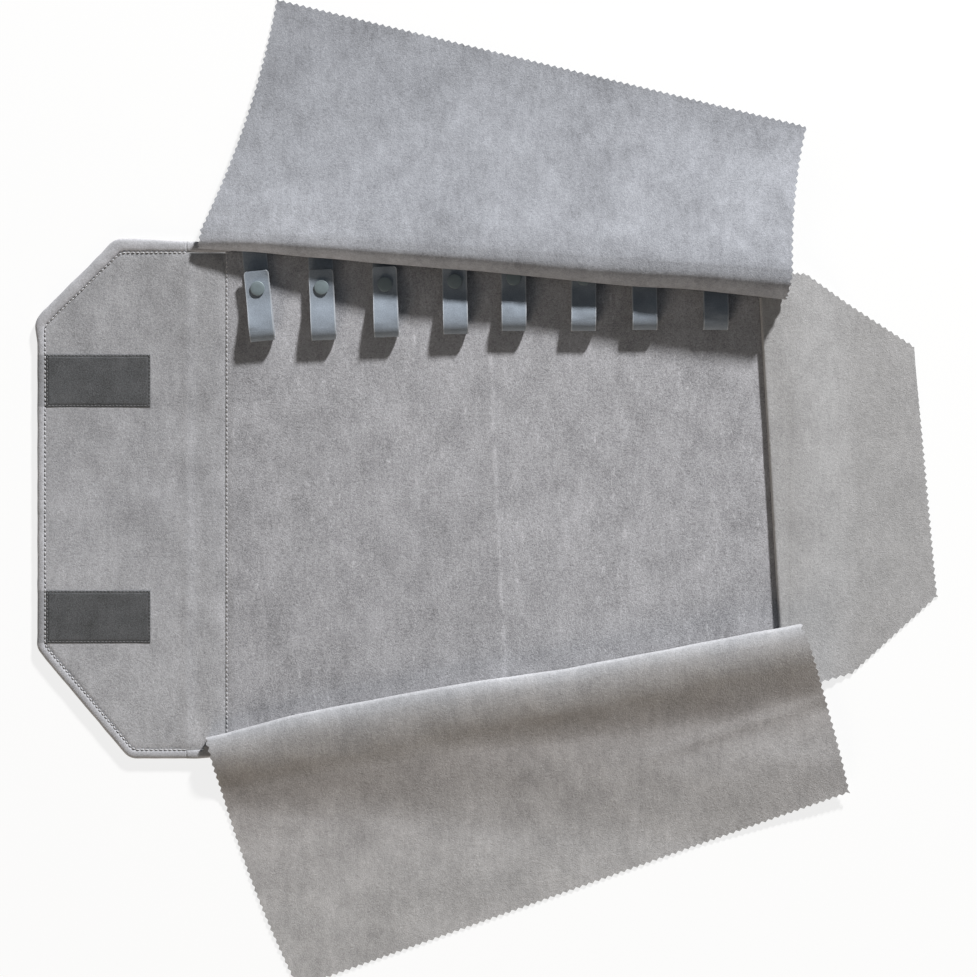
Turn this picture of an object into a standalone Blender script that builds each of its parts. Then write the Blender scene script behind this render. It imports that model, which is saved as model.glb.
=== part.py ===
"""Jewelry roll of grey microsuede, laid open on a table with its flaps folded back.

The roll is a padded panel with an end flap on its left, a row of eight snap straps along
its upper edge and three loose flaps sewn round it. The origin lies on the table under the
middle of the panel: +X runs to the right, +Y to the upper edge and +Z up. Sizes in metres.
"""

import math

import bmesh
import bpy
from mathutils import Vector

# Clearance kept between touching pieces
gap = 0.0003

# Panel
panel_width = 0.4124
panel_height = 0.3760
cover_thickness = 0.0018
padding_thickness = 0.0012
lining_thickness = 0.0009
padding_margin = 0.0060
panel_corner_radius = 0.0030
left_edge = -panel_width / 2
right_edge = panel_width / 2
upper_edge = panel_height / 2
lower_edge = -panel_height / 2

# End flap, which folds along a crease to the left of the panel
spine_width = 0.0286
end_flap_length = 0.1094
end_flap_upper_cut = (0.0588, 0.0570)
end_flap_lower_cut = (0.0676, 0.0802)
end_flap_corner_radius = 0.0070
hem_width = 0.0058
hem_rise = 0.0004

# Hook strips on the end flap and loop strips on the back of the panel
strip_length = 0.0764
strip_width = 0.0382
strip_corner_radius = 0.0010
hook_thickness = 0.0016
loop_thickness = 0.0010
strip_inset = 0.0008
upper_strip_y = upper_edge - 0.0998
lower_strip_y = lower_edge + 0.1031
loop_strip_x = right_edge - 0.0647

# Snap straps, each set a little off its place in the row and folded its own way below the seam
strap_count = 8
strap_left_margin = 0.0280
strap_right_margin = 0.0533
first_strap_x = left_edge + strap_left_margin
strap_pitch = (panel_width - strap_left_margin - strap_right_margin) / (strap_count - 1)
strap_shift = (0.0, -0.0025, -0.0040, -0.0008, -0.0055, -0.0021, -0.0045, 0.0)
strap_drop = (0.0704, 0.0697, 0.0675, 0.0653, 0.0630, 0.0630, 0.0623, 0.0623)
strap_lean = (5.8, 2.9, 2.0, 1.2, 0.4, -0.6, 0.5, -0.4)
strap_width = 0.0181
strap_thickness = 0.0012
strap_length = 0.0510
strap_end_rounding = 0.0030
strap_tail_margin = 0.0030
loop_rise = 0.0086
loop_run = 0.0080
fold_share = 0.48
base_bend_share = 0.15
front_bend_share = 0.17
bend_segments = 6
base_segments = 10
front_segments = 22

# Snap fasteners
snap_from_fold = 0.0380
snap_cap_radius = 0.00535
snap_cap_height = 0.0013
snap_socket_radius = 0.0042
snap_socket_height = 0.0013
snap_post_radius = 0.0013
snap_mouth_radius = 0.0022
snap_mouth_depth = 0.0011
snap_flange_radius = 0.0040
snap_flange_thickness = 0.0003
snap_head_radius = 0.0017
snap_head_height = 0.0010

# Loose flaps
flap_thickness = 0.0009
seam_allowance = 0.0015
seam_start_x = left_edge - 0.0188
seam_end_x = right_edge - 0.0012
seam_share = 0.35
turn_share = 0.40

top_ridge_left = (left_edge - 0.0191, upper_edge - 0.0020)
top_ridge_right = (right_edge - 0.0022, upper_edge - 0.0403)
top_ridge_low = 0.0112
top_ridge_high = 0.0262
top_ridge_growth = 2.2
top_over_caps_share = 0.42
top_near_slope = 0.10
top_far_left = (left_edge + 0.0375, upper_edge + 0.1802)
top_far_right = (right_edge + 0.0139, upper_edge + 0.0869)
top_near_left = (left_edge - 0.0198, upper_edge + 0.0024)
top_near_right = (right_edge, upper_edge - 0.0140)
top_edge_bow_left = 0.0060
top_edge_bow_right = -0.0030
top_rise_share = 0.40
top_fall_power = 1.8

bottom_ridge_left = (left_edge - 0.0132, lower_edge + 0.0145)
bottom_ridge_right = (right_edge + 0.0088, lower_edge + 0.0983)
bottom_radius_left = 0.0034
bottom_radius_right = 0.0042
bottom_far_left = (left_edge + 0.0530, lower_edge - 0.1692)
bottom_far_right = (right_edge + 0.0448, lower_edge - 0.0252)
bottom_edge_bow_left = -0.0050
bottom_edge_bow_right = 0.0015
bottom_drop = 0.0320
bottom_fall = 0.0780

side_ridge_upper = (right_edge - 0.0206, upper_edge - 0.0388)
side_ridge_lower = (right_edge - 0.0066, lower_edge + 0.1020)
side_radius = 0.0016
side_upper_corner = (right_edge + 0.0029, upper_edge - 0.0212)
side_upper_cut_start = (right_edge + 0.0132, upper_edge - 0.0219)
side_upper_cut_middle = (right_edge + 0.0433, upper_edge - 0.0425)
side_upper_cut_end = (right_edge + 0.0933, upper_edge - 0.0748)
side_upper_outer_corner = (right_edge + 0.0943, upper_edge - 0.0888)
side_outer_corner = (right_edge + 0.1098, lower_edge + 0.1180)
side_lower_cut_end = (right_edge + 0.0477, lower_edge + 0.0616)
side_lower_corner = (right_edge + 0.0303, lower_edge + 0.0560)
side_relief_corner = (right_edge + 0.0163, lower_edge + 0.0980)
side_edge_share = 0.4
side_drop = 0.0260

# Levels above the table that follow from the thicknesses
padding_level = cover_thickness + gap
lining_level = padding_level + padding_thickness + gap
lining_top = lining_level + lining_thickness
flap_on_lining = lining_top + gap + flap_thickness / 2
flap_on_table = flap_thickness / 2
base_leg_middle = lining_top + gap + strap_thickness / 2
base_leg_top = base_leg_middle + strap_thickness / 2
socket_bottom = base_leg_top + gap + snap_flange_thickness + gap
front_leg_middle = socket_bottom + snap_socket_height + gap + strap_thickness / 2
cap_top = front_leg_middle + strap_thickness / 2 + gap + snap_cap_height
over_tails = base_leg_top + gap + flap_thickness / 2
over_caps = cap_top + gap + flap_thickness / 2
hinge_x = left_edge - spine_width

collection = bpy.data.collections.new("jewelry_roll")
guides = bpy.data.collections.new("guides")


def clear_scene():
    """Remove the objects that Blender starts with and link the two collections."""
    for old in list(bpy.data.objects):
        bpy.data.objects.remove(old, do_unlink=True)
    bpy.context.scene.collection.children.link(collection)
    bpy.context.scene.collection.children.link(guides)


def make_material(name, colour, roughness, metallic=0.0):
    """Return a Principled material of one colour."""
    material = bpy.data.materials.new(name)
    material.use_nodes = True
    shader = material.node_tree.nodes["Principled BSDF"]
    shader.inputs["Base Color"].default_value = (*colour, 1.0)
    shader.inputs["Roughness"].default_value = roughness
    shader.inputs["Metallic"].default_value = metallic
    material.diffuse_color = (*colour, 1.0)
    return material


def add_object(name, data, material, parent=None):
    """Link a new object that shows the data in the roll's collection."""
    piece = bpy.data.objects.new(name, data)
    collection.objects.link(piece)
    data.materials.append(material)
    piece.parent = parent
    return piece


def add_empty(name, place, turn=0.0, parent=None):
    """Return an empty that stands on a joint's axis and carries the pieces that move with it."""
    empty = bpy.data.objects.new(name, None)
    guides.objects.link(empty)
    empty.empty_display_size = 0.01
    empty.location = place
    empty.rotation_euler = (0.0, 0.0, turn)
    empty.parent = parent
    return empty


def as_cutter(piece):
    """Keep a cutter or guide out of the finished model."""
    for owner in list(piece.users_collection):
        owner.objects.unlink(piece)
    guides.objects.link(piece)
    piece.hide_render = True
    piece.display_type = "WIRE"
    return piece


def cut(piece, cutter):
    """Take the cutter's shape out of a piece."""
    modifier = piece.modifiers.new("cut " + cutter.name, "BOOLEAN")
    modifier.operation = "DIFFERENCE"
    modifier.solver = "EXACT"
    modifier.object = cutter


def smooth(value):
    """Ease from 0 to 1 as the value runs from 0 to 1, and stay level outside."""
    held = min(1.0, max(0.0, value))
    return held * held * (3 - 2 * held)


def mix(first, second, share):
    """Return the number, or the point, that lies at a share of the way between two."""
    if isinstance(first, tuple):
        return tuple(a + (b - a) * share for a, b in zip(first, second))
    return first + (second - first) * share


def rounded_outline(corners, radius, steps=5):
    """Replace each corner of a closed outline by an arc."""
    points = []
    for index, corner in enumerate(corners):
        here = Vector(corner)
        before = (Vector(corners[index - 1]) - here).normalized()
        after = (Vector(corners[(index + 1) % len(corners)]) - here).normalized()
        half = before.angle(after) / 2
        centre = here + (before + after).normalized() * radius / math.sin(half)
        start = here + before * radius / math.tan(half) - centre
        finish = here + after * radius / math.tan(half) - centre
        swing = math.pi - 2 * half
        for step in range(steps + 1):
            share = step / steps
            spoke = start * math.sin((1 - share) * swing) + finish * math.sin(share * swing)
            points.append(centre + spoke / math.sin(swing))
    return [tuple(point) for point in points]


def inset_outline(corners, margins):
    """Move each side of a clockwise outline inwards; side n runs from corner n to the next."""
    lines = []
    for index, corner in enumerate(corners):
        here = Vector(corner)
        along = (Vector(corners[(index + 1) % len(corners)]) - here).normalized()
        inward = Vector((along.y, -along.x))
        lines.append((here + inward * margins[index], along))
    moved = []
    for index, (point, along) in enumerate(lines):
        last_point, last_along = lines[index - 1]
        turn = last_along.x * along.y - last_along.y * along.x
        between = point - last_point
        reach = (between.x * along.y - between.y * along.x) / turn
        moved.append(tuple(last_point + last_along * reach))
    return moved


def flat_piece(name, outline, bottom, thickness, material, parent=None, origin=(0.0, 0.0, 0.0)):
    """Make a flat sheet from its outline, lying at a level above the table."""
    curve = bpy.data.curves.new(name, "CURVE")
    curve.dimensions = "2D"
    curve.fill_mode = "BOTH"
    curve.extrude = thickness / 2
    spline = curve.splines.new("POLY")
    spline.points.add(len(outline) - 1)
    for point, place in zip(spline.points, outline):
        point.co = (place[0] - origin[0], place[1] - origin[1], 0.0, 1.0)
    spline.use_cyclic_u = True
    sheet = add_object(name, curve, material, parent)
    sheet.location = (0.0, 0.0, bottom + thickness / 2 - origin[2])
    return sheet


def meshed(piece):
    """Turn a curve object into a welded mesh object of the same name and place."""
    bpy.context.view_layer.update()
    name = piece.name
    evaluated = piece.evaluated_get(bpy.context.evaluated_depsgraph_get())
    mesh = bpy.data.meshes.new_from_object(evaluated)
    shape = bmesh.new()
    shape.from_mesh(mesh)
    bmesh.ops.remove_doubles(shape, verts=shape.verts, dist=0.000002)
    bmesh.ops.recalc_face_normals(shape, faces=shape.faces)
    shape.to_mesh(mesh)
    shape.free()
    place = piece.location.copy()
    parent = piece.parent
    bpy.data.objects.remove(piece, do_unlink=True)
    solid = bpy.data.objects.new(name, mesh)
    collection.objects.link(solid)
    solid.location = place
    solid.parent = parent
    return solid


def surface(name, shape_of, across, along, thickness, material, parent=None):
    """Bend a grid by a function of two shares and give it a thickness."""
    shape = bmesh.new()
    bmesh.ops.create_grid(shape, x_segments=across, y_segments=along, size=0.5)
    for vertex in shape.verts:
        vertex.co = shape_of(vertex.co.x + 0.5, vertex.co.y + 0.5)
    mesh = bpy.data.meshes.new(name)
    shape.to_mesh(mesh)
    shape.free()
    cloth = add_object(name, mesh, material, parent)
    solid = cloth.modifiers.new("thickness", "SOLIDIFY")
    solid.thickness = thickness
    solid.offset = 0.0
    mesh.shade_smooth()
    return cloth


def turned(name, profile, sides, material, parent, place):
    """Turn a profile of (radius, height) points, top to bottom, about the vertical."""
    shape = bmesh.new()
    rim = [shape.verts.new((radius, 0.0, height)) for radius, height in profile]
    for first, second in zip(rim, rim[1:]):
        shape.edges.new((first, second))
    mesh = bpy.data.meshes.new(name)
    shape.to_mesh(mesh)
    shape.free()
    piece = add_object(name, mesh, material, parent)
    piece.location = place
    screw = piece.modifiers.new("turn", "SCREW")
    screw.steps = sides
    screw.render_steps = sides
    screw.use_merge_vertices = True
    screw.merge_threshold = 0.00001
    return piece


def box_cutter(name, centre, size):
    """Return a box that cuts a pocket."""
    shape = bmesh.new()
    bmesh.ops.create_cube(shape, size=1.0)
    bmesh.ops.scale(shape, vec=size, verts=shape.verts)
    mesh = bpy.data.meshes.new(name)
    shape.to_mesh(mesh)
    shape.free()
    cutter = bpy.data.objects.new(name, mesh)
    cutter.location = centre
    collection.objects.link(cutter)
    return as_cutter(cutter)


def hole_cutter(name, centre, radius, depth, parent):
    """Return an upright cylinder that cuts a snap's hole."""
    shape = bmesh.new()
    bmesh.ops.create_cone(shape, cap_ends=True, segments=16, radius1=radius, radius2=radius, depth=depth)
    mesh = bpy.data.meshes.new(name)
    shape.to_mesh(mesh)
    shape.free()
    cutter = bpy.data.objects.new(name, mesh)
    cutter.location = centre
    cutter.parent = parent
    collection.objects.link(cutter)
    return as_cutter(cutter)


def rectangle(left, right, low, high):
    """Return a clockwise rectangle, from its lower left corner."""
    return [(left, low), (left, high), (right, high), (right, low)]


def panel_outline(margin, left):
    """Return the panel's outline, drawn in by a margin on its three outer sides."""
    corners = rectangle(left, right_edge - margin, lower_edge + margin, upper_edge - margin)
    return rounded_outline(corners, panel_corner_radius)


def make_panel():
    """Make the back cover, the padding, the lining and the spine's own lining."""
    crease = hinge_x + gap
    cover = flat_piece("outer_cover", panel_outline(0.0, crease), 0.0, cover_thickness, suede)
    cover = meshed(cover)
    for label, strip_y in (("upper", upper_strip_y), ("lower", lower_strip_y)):
        size = (strip_length + 2 * gap, strip_width + 2 * gap, 2 * (loop_thickness + gap))
        cut(cover, box_cutter("loop_pocket_" + label, (loop_strip_x, strip_y, 0.0), size))
        strip = strip_outline(loop_strip_x, strip_y)
        flat_piece("loop_strip_" + label, strip, 0.0, loop_thickness, loop_tape)
    padding = panel_outline(padding_margin, crease)
    flat_piece("panel_padding", padding, padding_level, padding_thickness, foam)
    spine = rectangle(crease, left_edge - gap / 2, lower_edge, upper_edge)
    flat_piece("spine_lining", spine, lining_level, lining_thickness, suede)
    field = panel_outline(0.0, left_edge + gap / 2)
    flat_piece("panel_lining", field, lining_level, lining_thickness, lining_suede)


def strip_outline(centre_x, centre_y):
    """Return the rounded rectangle of one fastening strip."""
    half_length = strip_length / 2
    half_width = strip_width / 2
    corners = rectangle(
        centre_x - half_length, centre_x + half_length, centre_y - half_width, centre_y + half_width
    )
    return rounded_outline(corners, strip_corner_radius, 3)


def end_flap_corners():
    """Return the end flap's clockwise outline from the lower end of its crease."""
    left = hinge_x - end_flap_length
    right = hinge_x - gap
    return [
        (right, lower_edge),
        (left + end_flap_lower_cut[0], lower_edge),
        (left, lower_edge + end_flap_lower_cut[1]),
        (left, upper_edge - end_flap_upper_cut[1]),
        (left + end_flap_upper_cut[0], upper_edge),
        (right, upper_edge),
    ]


def make_end_flap():
    """Make the folding end flap: its three layers, its rolled hem and its hook strips."""
    origin = (hinge_x, 0.0, lining_top)
    fold = add_empty("end_flap_fold", origin)
    corners = end_flap_corners()

    def layer_outline(margin):
        return inset_outline(corners, [margin, margin, margin, margin, margin, 0.0])

    layers = (
        ("end_flap_cover", hem_width + gap, 0.0, cover_thickness, suede),
        ("end_flap_padding", hem_width + padding_margin, padding_level, padding_thickness, foam),
        ("end_flap_lining", hem_width + gap, lining_level, lining_thickness, suede),
    )
    for name, margin, bottom, thickness, material in layers:
        flat_piece(name, layer_outline(margin), bottom, thickness, material, fold, origin)
    make_hem(layer_outline(hem_width / 2), fold, origin)
    strip_x = hinge_x - end_flap_length + hem_width + strip_inset + strip_length / 2
    for label, strip_y in (("upper", upper_strip_y), ("lower", lower_strip_y)):
        strip = strip_outline(strip_x, strip_y)
        name = "hook_strip_" + label
        flat_piece(name, strip, lining_top + gap, hook_thickness, hook_tape, fold, origin)


def make_hem(path, parent, origin):
    """Sweep an oval along the flap's edge, from one end of the crease to the other."""
    height = lining_top + hem_rise
    sides = 10
    oval = bpy.data.curves.new("hem_section", "CURVE")
    oval.dimensions = "2D"
    rim = oval.splines.new("POLY")
    rim.points.add(sides - 1)
    for index, point in enumerate(rim.points):
        angle = 2 * math.pi * (index + 0.5) / sides
        reach = math.cos(math.pi / sides)
        across = hem_width / 2 * math.cos(angle)
        up = height / 2 * math.sin(angle) / reach
        point.co = (across, up, 0.0, 1.0)
    rim.use_cyclic_u = True
    section = bpy.data.objects.new("hem_section", oval)
    collection.objects.link(section)
    as_cutter(section)
    rounded = rounded_outline(path, end_flap_corner_radius)
    steps = 6
    route = rounded[steps - 1:-steps + 1]
    route[0] = path[0]
    route[-1] = path[-1]
    curve = bpy.data.curves.new("end_flap_hem", "CURVE")
    curve.dimensions = "3D"
    curve.twist_mode = "Z_UP"
    curve.bevel_mode = "OBJECT"
    curve.bevel_object = section
    curve.use_fill_caps = True
    spline = curve.splines.new("POLY")
    spline.points.add(len(route) - 1)
    for point, place in zip(spline.points, route):
        point.co = (place[0] - origin[0], place[1] - origin[1], 0.0, 1.0)
    hem = add_object("end_flap_hem", curve, suede, parent)
    hem.location = (0.0, 0.0, height / 2 - origin[2])
    meshed(hem)


def loop_top():
    """Return the level of the strap's middle at the top of its loop."""
    return base_leg_middle + loop_rise


def fold_level():
    """Return the level at which the strap's two legs meet at the front of the loop."""
    return mix(base_leg_middle, loop_top(), fold_share)


def front_leg_point(share):
    """Return (distance from the fold, level) along the leg that carries the cap."""
    travel = share * (strap_length + loop_rise / 2)
    start = fold_level() + gap / 2
    rise = loop_top() - start
    quarter = math.pi / 2 * (rise + loop_run) / 2
    if travel < quarter:
        angle = travel / quarter * math.pi / 2
        return loop_run * (1 - math.cos(angle)), start + rise * math.sin(angle)
    reach = loop_run + (travel - quarter) * (strap_length - loop_run) / (
        strap_length + loop_rise / 2 - quarter
    )
    fall = smooth((reach - loop_run) / (snap_from_fold - snap_cap_radius - loop_run))
    return reach, mix(loop_top(), front_leg_middle, fall)


def base_leg_point(share, length):
    """Return (distance from the fold, level) along the leg that lies on the lining."""
    finish = fold_level() - gap / 2
    rise = finish - base_leg_middle
    quarter = math.pi / 2 * (rise + loop_run) / 2
    travel = share * (quarter + length - loop_run)
    if travel < quarter:
        angle = travel / quarter * math.pi / 2
        return loop_run * (1 - math.cos(angle)), finish - rise * math.sin(angle)
    return loop_run + travel - quarter, base_leg_middle


def even_stretch(share, bend_share, segments):
    """Give a leg's bend the first segments of its grid and spread the rest evenly."""
    step = share * segments
    if step <= bend_segments:
        return bend_share * step / bend_segments
    return mix(bend_share, 1.0, (step - bend_segments) / (segments - bend_segments))


def make_strap(number):
    """Make one strap: its base leg, its front leg, its cap with socket, and its stud."""
    index = number - 1
    lean = math.radians(strap_lean[index])
    fold_y = upper_edge - strap_drop[index]
    place = (first_strap_x + index * strap_pitch + strap_shift[index], fold_y, 0.0)
    stand = add_empty(f"strap_{number}_stand", place, lean)
    axis = (0.0, -strap_thickness / 2, fold_level())
    fold = add_empty(f"strap_{number}_fold", axis, 0.0, stand)
    base_length = (strap_drop[index] - strap_tail_margin) / math.cos(lean)
    half_width = strap_width / 2

    def base_shape(across, along):
        reach, level = base_leg_point(even_stretch(along, base_bend_share, base_segments), base_length)
        return half_width * (2 * across - 1), reach, level

    def front_shape(across, along):
        share = even_stretch(along, front_bend_share, front_segments)
        reach, level = front_leg_point(share)
        left = strap_length - reach
        narrow = max(0.0, 1 - left / strap_end_rounding)
        half = half_width - strap_end_rounding * 0.6 * (1 - math.sqrt(1 - narrow * narrow))
        return half * (2 * across - 1) - axis[0], reach - axis[1], level - axis[2]

    base = surface(
        f"strap_{number}_base", base_shape, 2, base_segments, strap_thickness, strap_suede, stand
    )
    front = surface(
        f"strap_{number}_front", front_shape, 2, front_segments, strap_thickness, strap_suede, fold
    )
    hole = hole_cutter(
        f"snap_{number}_hole", (0.0, snap_from_fold, base_leg_middle),
        snap_post_radius + gap, 4 * strap_thickness, stand,
    )
    cut(base, hole)
    upper_hole = hole_cutter(
        f"snap_{number}_upper_hole", (0.0, snap_from_fold - axis[1], front_leg_middle - axis[2]),
        snap_post_radius + gap, 4 * strap_thickness, fold,
    )
    cut(front, upper_hole)
    make_cap(number, fold, (0.0, snap_from_fold - axis[1], front_leg_middle - axis[2]))
    make_stud(number, stand, (0.0, snap_from_fold, base_leg_middle))


def make_cap(number, parent, place):
    """Turn the domed cap with the post through the strap and the socket under it."""
    top = strap_thickness / 2 + gap
    dome = [(snap_cap_radius * math.sin(a), top + snap_cap_height * (0.3 + 0.7 * math.cos(a)))
            for a in (0.0, math.radians(35), math.radians(62), math.radians(82))]
    dome[0] = (0.0, top + snap_cap_height)
    profile = dome + [
        (snap_cap_radius, top + 0.3 * snap_cap_height),
        (snap_cap_radius, top),
        (snap_post_radius, top),
        (snap_post_radius, -top),
        (snap_socket_radius, -top),
        (snap_socket_radius, -top - snap_socket_height),
        (snap_mouth_radius, -top - snap_socket_height),
        (snap_mouth_radius, -top - snap_socket_height + snap_mouth_depth),
        (0.0, -top - snap_socket_height + snap_mouth_depth),
    ]
    turned(f"snap_{number}_cap", profile, 20, snap_enamel, parent, place)


def make_stud(number, parent, place):
    """Turn the stud: its head, its flange and the post riveted through the base leg."""
    flange_bottom = strap_thickness / 2 + gap
    flange_top = flange_bottom + snap_flange_thickness
    profile = [
        (0.0, flange_top + snap_head_height),
        (snap_head_radius * 0.8, flange_top + snap_head_height),
        (snap_head_radius, flange_top + snap_head_height * 0.7),
        (snap_head_radius, flange_top),
        (snap_flange_radius, flange_top),
        (snap_flange_radius, flange_bottom),
        (snap_post_radius, flange_bottom),
        (snap_post_radius, -strap_thickness / 2),
        (0.0, -strap_thickness / 2),
    ]
    turned(f"snap_{number}_stud", profile, 16, snap_metal, parent, place)


def bowed(start, finish, share, bow):
    """Return the point at a share of a line that bows sideways by a given height."""
    point = mix(start, finish, share)
    along = Vector(finish) - Vector(start)
    side = Vector((-along.y, along.x)).normalized()
    reach = 4 * share * (1 - share) * bow
    return point[0] + side.x * reach, point[1] + side.y * reach


def top_levels(share):
    """Return the middle levels of the top flap's cloth under and over its ridge."""
    low = mix(over_tails, over_caps, smooth(share / top_over_caps_share))
    high = mix(top_ridge_low, top_ridge_high, 1 - (1 - share) ** top_ridge_growth)
    return low, max(high, low + 2.5 * flap_thickness)


def top_start(share):
    """Return where the loose part of the top flap begins, behind the ridge."""
    near = mix(top_near_left, top_near_right, share)
    low, high = top_levels(share)
    ridge = mix(top_ridge_left, top_ridge_right, share)
    slope_length = max(0.0, near[1] - ridge[1] - (high - low) / 2)
    return near, high - top_near_slope * slope_length


def fold_section(share, seam, ridge, start, low, high, outward, rise_share=1.0):
    """Return a point of a fold: up from the seam, round the ridge and back to the start.

    The seam share runs from the seam to the foot of the ridge, the turn share goes round
    the ridge as a half circle and the rest goes back to where the loose part begins. The
    cloth has risen to the ridge's foot at the rise share of the first part.
    The points are (place, level), with the place measured along the outward way.
    """
    radius = (high - low) / 2
    centre = ridge + outward * radius
    turned_share = seam_share + turn_share
    if share < seam_share:
        along = share / seam_share
        place = mix(seam[0], centre, along)
        return place, mix(seam[1], low, smooth(along / rise_share))
    if share < turned_share:
        angle = (share - seam_share) / turn_share * math.pi
        return centre - outward * radius * math.sin(angle), low + radius * (1 - math.cos(angle))
    along = (share - turned_share) / (1 - turned_share)
    return mix(centre, start[0], along), mix(high, start[1], smooth(along))


def make_top_flap():
    """Make the top flap: the fold over the straps and the loose part beyond it."""

    def fold_shape(across, along):
        ridge = mix(top_ridge_left, top_ridge_right, across)
        near, level = top_start(across)
        low, high = top_levels(across)
        seam = (upper_edge - seam_allowance, over_tails)
        place_y, place_z = fold_section(
            along, seam, ridge[1], (near[1] - gap / 2, level), low, high, 1.0, top_rise_share
        )
        seam_x = mix(seam_start_x, seam_end_x, across)
        place_x = mix(seam_x, ridge[0], smooth(along / seam_share))
        turned_share = seam_share + turn_share
        place_x = mix(place_x, near[0], smooth((along - turned_share) / (1 - turned_share)))
        return place_x, place_y, place_z

    def leaf_shape(across, along):
        near, level = top_start(across)
        start = (near[0], near[1] + gap / 2)
        left = bowed(top_near_left, top_far_left, along, -top_edge_bow_left)
        right = bowed(top_near_right, top_far_right, along, -top_edge_bow_right)
        edge = mix(left, right, across)
        place_y = edge[1] + (start[1] - near[1]) * (1 - along)
        height = flap_on_table + (level - flap_on_table) * (1 - along) ** top_fall_power
        return edge[0] - axis[0], place_y - axis[1], height - axis[2]

    axis = hinge_point("top", 0.5)
    swing = add_empty("top_flap_swing", axis)
    surface("top_flap_fold", fold_shape, 18, 20, flap_thickness, suede)
    surface("top_flap", leaf_shape, 18, 10, flap_thickness, suede, swing)


def bottom_levels(share):
    """Return the middle levels of the bottom flap's cloth under and over its ridge."""
    side_top = side_levels()[1] + flap_thickness / 2
    clear_of_side = side_top + gap + flap_thickness / 2
    low = mix(flap_on_lining, clear_of_side, share)
    return low, low + 2 * mix(bottom_radius_left, bottom_radius_right, share)


def side_levels():
    """Return the middle levels of the side flap's cloth under and over its ridge."""
    return flap_on_lining, flap_on_lining + 2 * side_radius


def falling(distance, reach, high, edge_level, drop):
    """Return the level of cloth that slopes to the panel's edge and drops to the table.

    The distance is measured outwards from the panel's edge, so it is negative over the
    panel, where the cloth starts a reach before the edge.
    """
    if distance < 0:
        return mix(edge_level, high, min(1.0, -distance / reach))
    return mix(edge_level, flap_on_table, smooth(distance / drop))


def make_bottom_flap():
    """Make the bottom flap: the fold over the panel's corner and the loose part beyond it."""
    edge_level = flap_on_lining + flap_thickness + 2 * gap

    def near_point(across, high, low):
        ridge = mix(bottom_ridge_left, bottom_ridge_right, across)
        return ridge[0], ridge[1] - (high - low) / 2 - 2 * gap

    def fold_shape(across, along):
        ridge = mix(bottom_ridge_left, bottom_ridge_right, across)
        low, high = bottom_levels(across)
        near = near_point(across, high, low)
        seam = (lower_edge + seam_allowance, flap_on_lining)
        place_y, place_z = fold_section(
            along, seam, ridge[1], (near[1] + gap / 2, high), low, high, -1.0
        )
        seam_x = mix(seam_start_x, seam_end_x, across)
        return mix(seam_x, ridge[0], smooth(along / seam_share)), place_y, place_z

    def leaf_shape(across, along):
        low, high = bottom_levels(across)
        near = near_point(across, high, low)
        left_near = near_point(0.0, *reversed(bottom_levels(0.0)))
        right_near = near_point(1.0, *reversed(bottom_levels(1.0)))
        left = bowed(left_near, bottom_far_left, along, bottom_edge_bow_left)
        right = bowed(right_near, bottom_far_right, along, bottom_edge_bow_right)
        edge = mix(left, right, across)
        place_y = edge[1] - gap / 2 * (1 - along)
        under = mix(edge_level, flap_on_table, smooth((lower_edge - place_y) / bottom_drop))
        level = under + (high - edge_level) * (1 - smooth((near[1] - place_y) / bottom_fall))
        return edge[0] - axis[0], place_y - axis[1], level - axis[2]

    axis = hinge_point("bottom", 0.5)
    swing = add_empty("bottom_flap_swing", axis)
    surface("bottom_flap_fold", fold_shape, 18, 20, flap_thickness, suede)
    surface("bottom_flap", leaf_shape, 18, 14, flap_thickness, suede, swing)


def side_upper_edge(share):
    """Return the side flap's upper outline, from the fold to its outer corner."""
    near = (side_ridge_upper[0] + side_radius + 2 * gap, side_ridge_upper[1])
    stops = (0.0, 0.17, 0.25, 0.48, 0.86, 1.0)
    points = (
        near, side_upper_corner, side_upper_cut_start, side_upper_cut_middle,
        side_upper_cut_end, side_upper_outer_corner,
    )
    return along_points(share, stops, points)


def side_lower_edge(share):
    """Return the side flap's lower outline, from the fold to its outer corner."""
    near = (side_ridge_lower[0] + side_radius + 2 * gap, side_ridge_lower[1])
    stops = (0.0, 0.17, 0.36, 0.50, 1.0)
    points = (near, side_relief_corner, side_lower_corner, side_lower_cut_end, side_outer_corner)
    return along_points(share, stops, points)


def along_points(share, stops, points):
    """Return the place at a share of a run of straight lines between given stops."""
    for index in range(len(stops) - 1):
        if share <= stops[index + 1]:
            part = (share - stops[index]) / (stops[index + 1] - stops[index])
            return mix(points[index], points[index + 1], part)
    return points[-1]


def make_side_flap():
    """Make the side flap: its fold on the panel's right edge and the loose part."""
    low, high = side_levels()
    edge_level = mix(high, flap_on_lining + flap_thickness + gap, side_edge_share)

    def fold_shape(across, along):
        ridge = mix(side_ridge_lower, side_ridge_upper, across)
        near = ridge[0] + side_radius + 1.5 * gap
        seam = (right_edge - seam_allowance, flap_on_lining)
        place_x, place_z = fold_section(along, seam, ridge[0], (near, high), low, high, 1.0)
        return place_x, ridge[1], place_z

    def leaf_shape(across, along):
        lower = side_lower_edge(along)
        upper = side_upper_edge(along)
        edge = mix(lower, upper, across)
        ridge = mix(side_ridge_lower, side_ridge_upper, across)
        reach = right_edge - ridge[0] - side_radius
        place_x = edge[0] + gap / 2 * (1 - along)
        level = falling(place_x - right_edge, reach, high, edge_level, side_drop)
        return place_x - axis[0], edge[1] - axis[1], level - axis[2]

    axis = hinge_point("side", 0.5)
    swing = add_empty("side_flap_swing", axis)
    surface("side_flap_fold", fold_shape, 14, 20, flap_thickness, side_suede)
    surface("side_flap", leaf_shape, 14, 16, flap_thickness, side_suede, swing)


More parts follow.
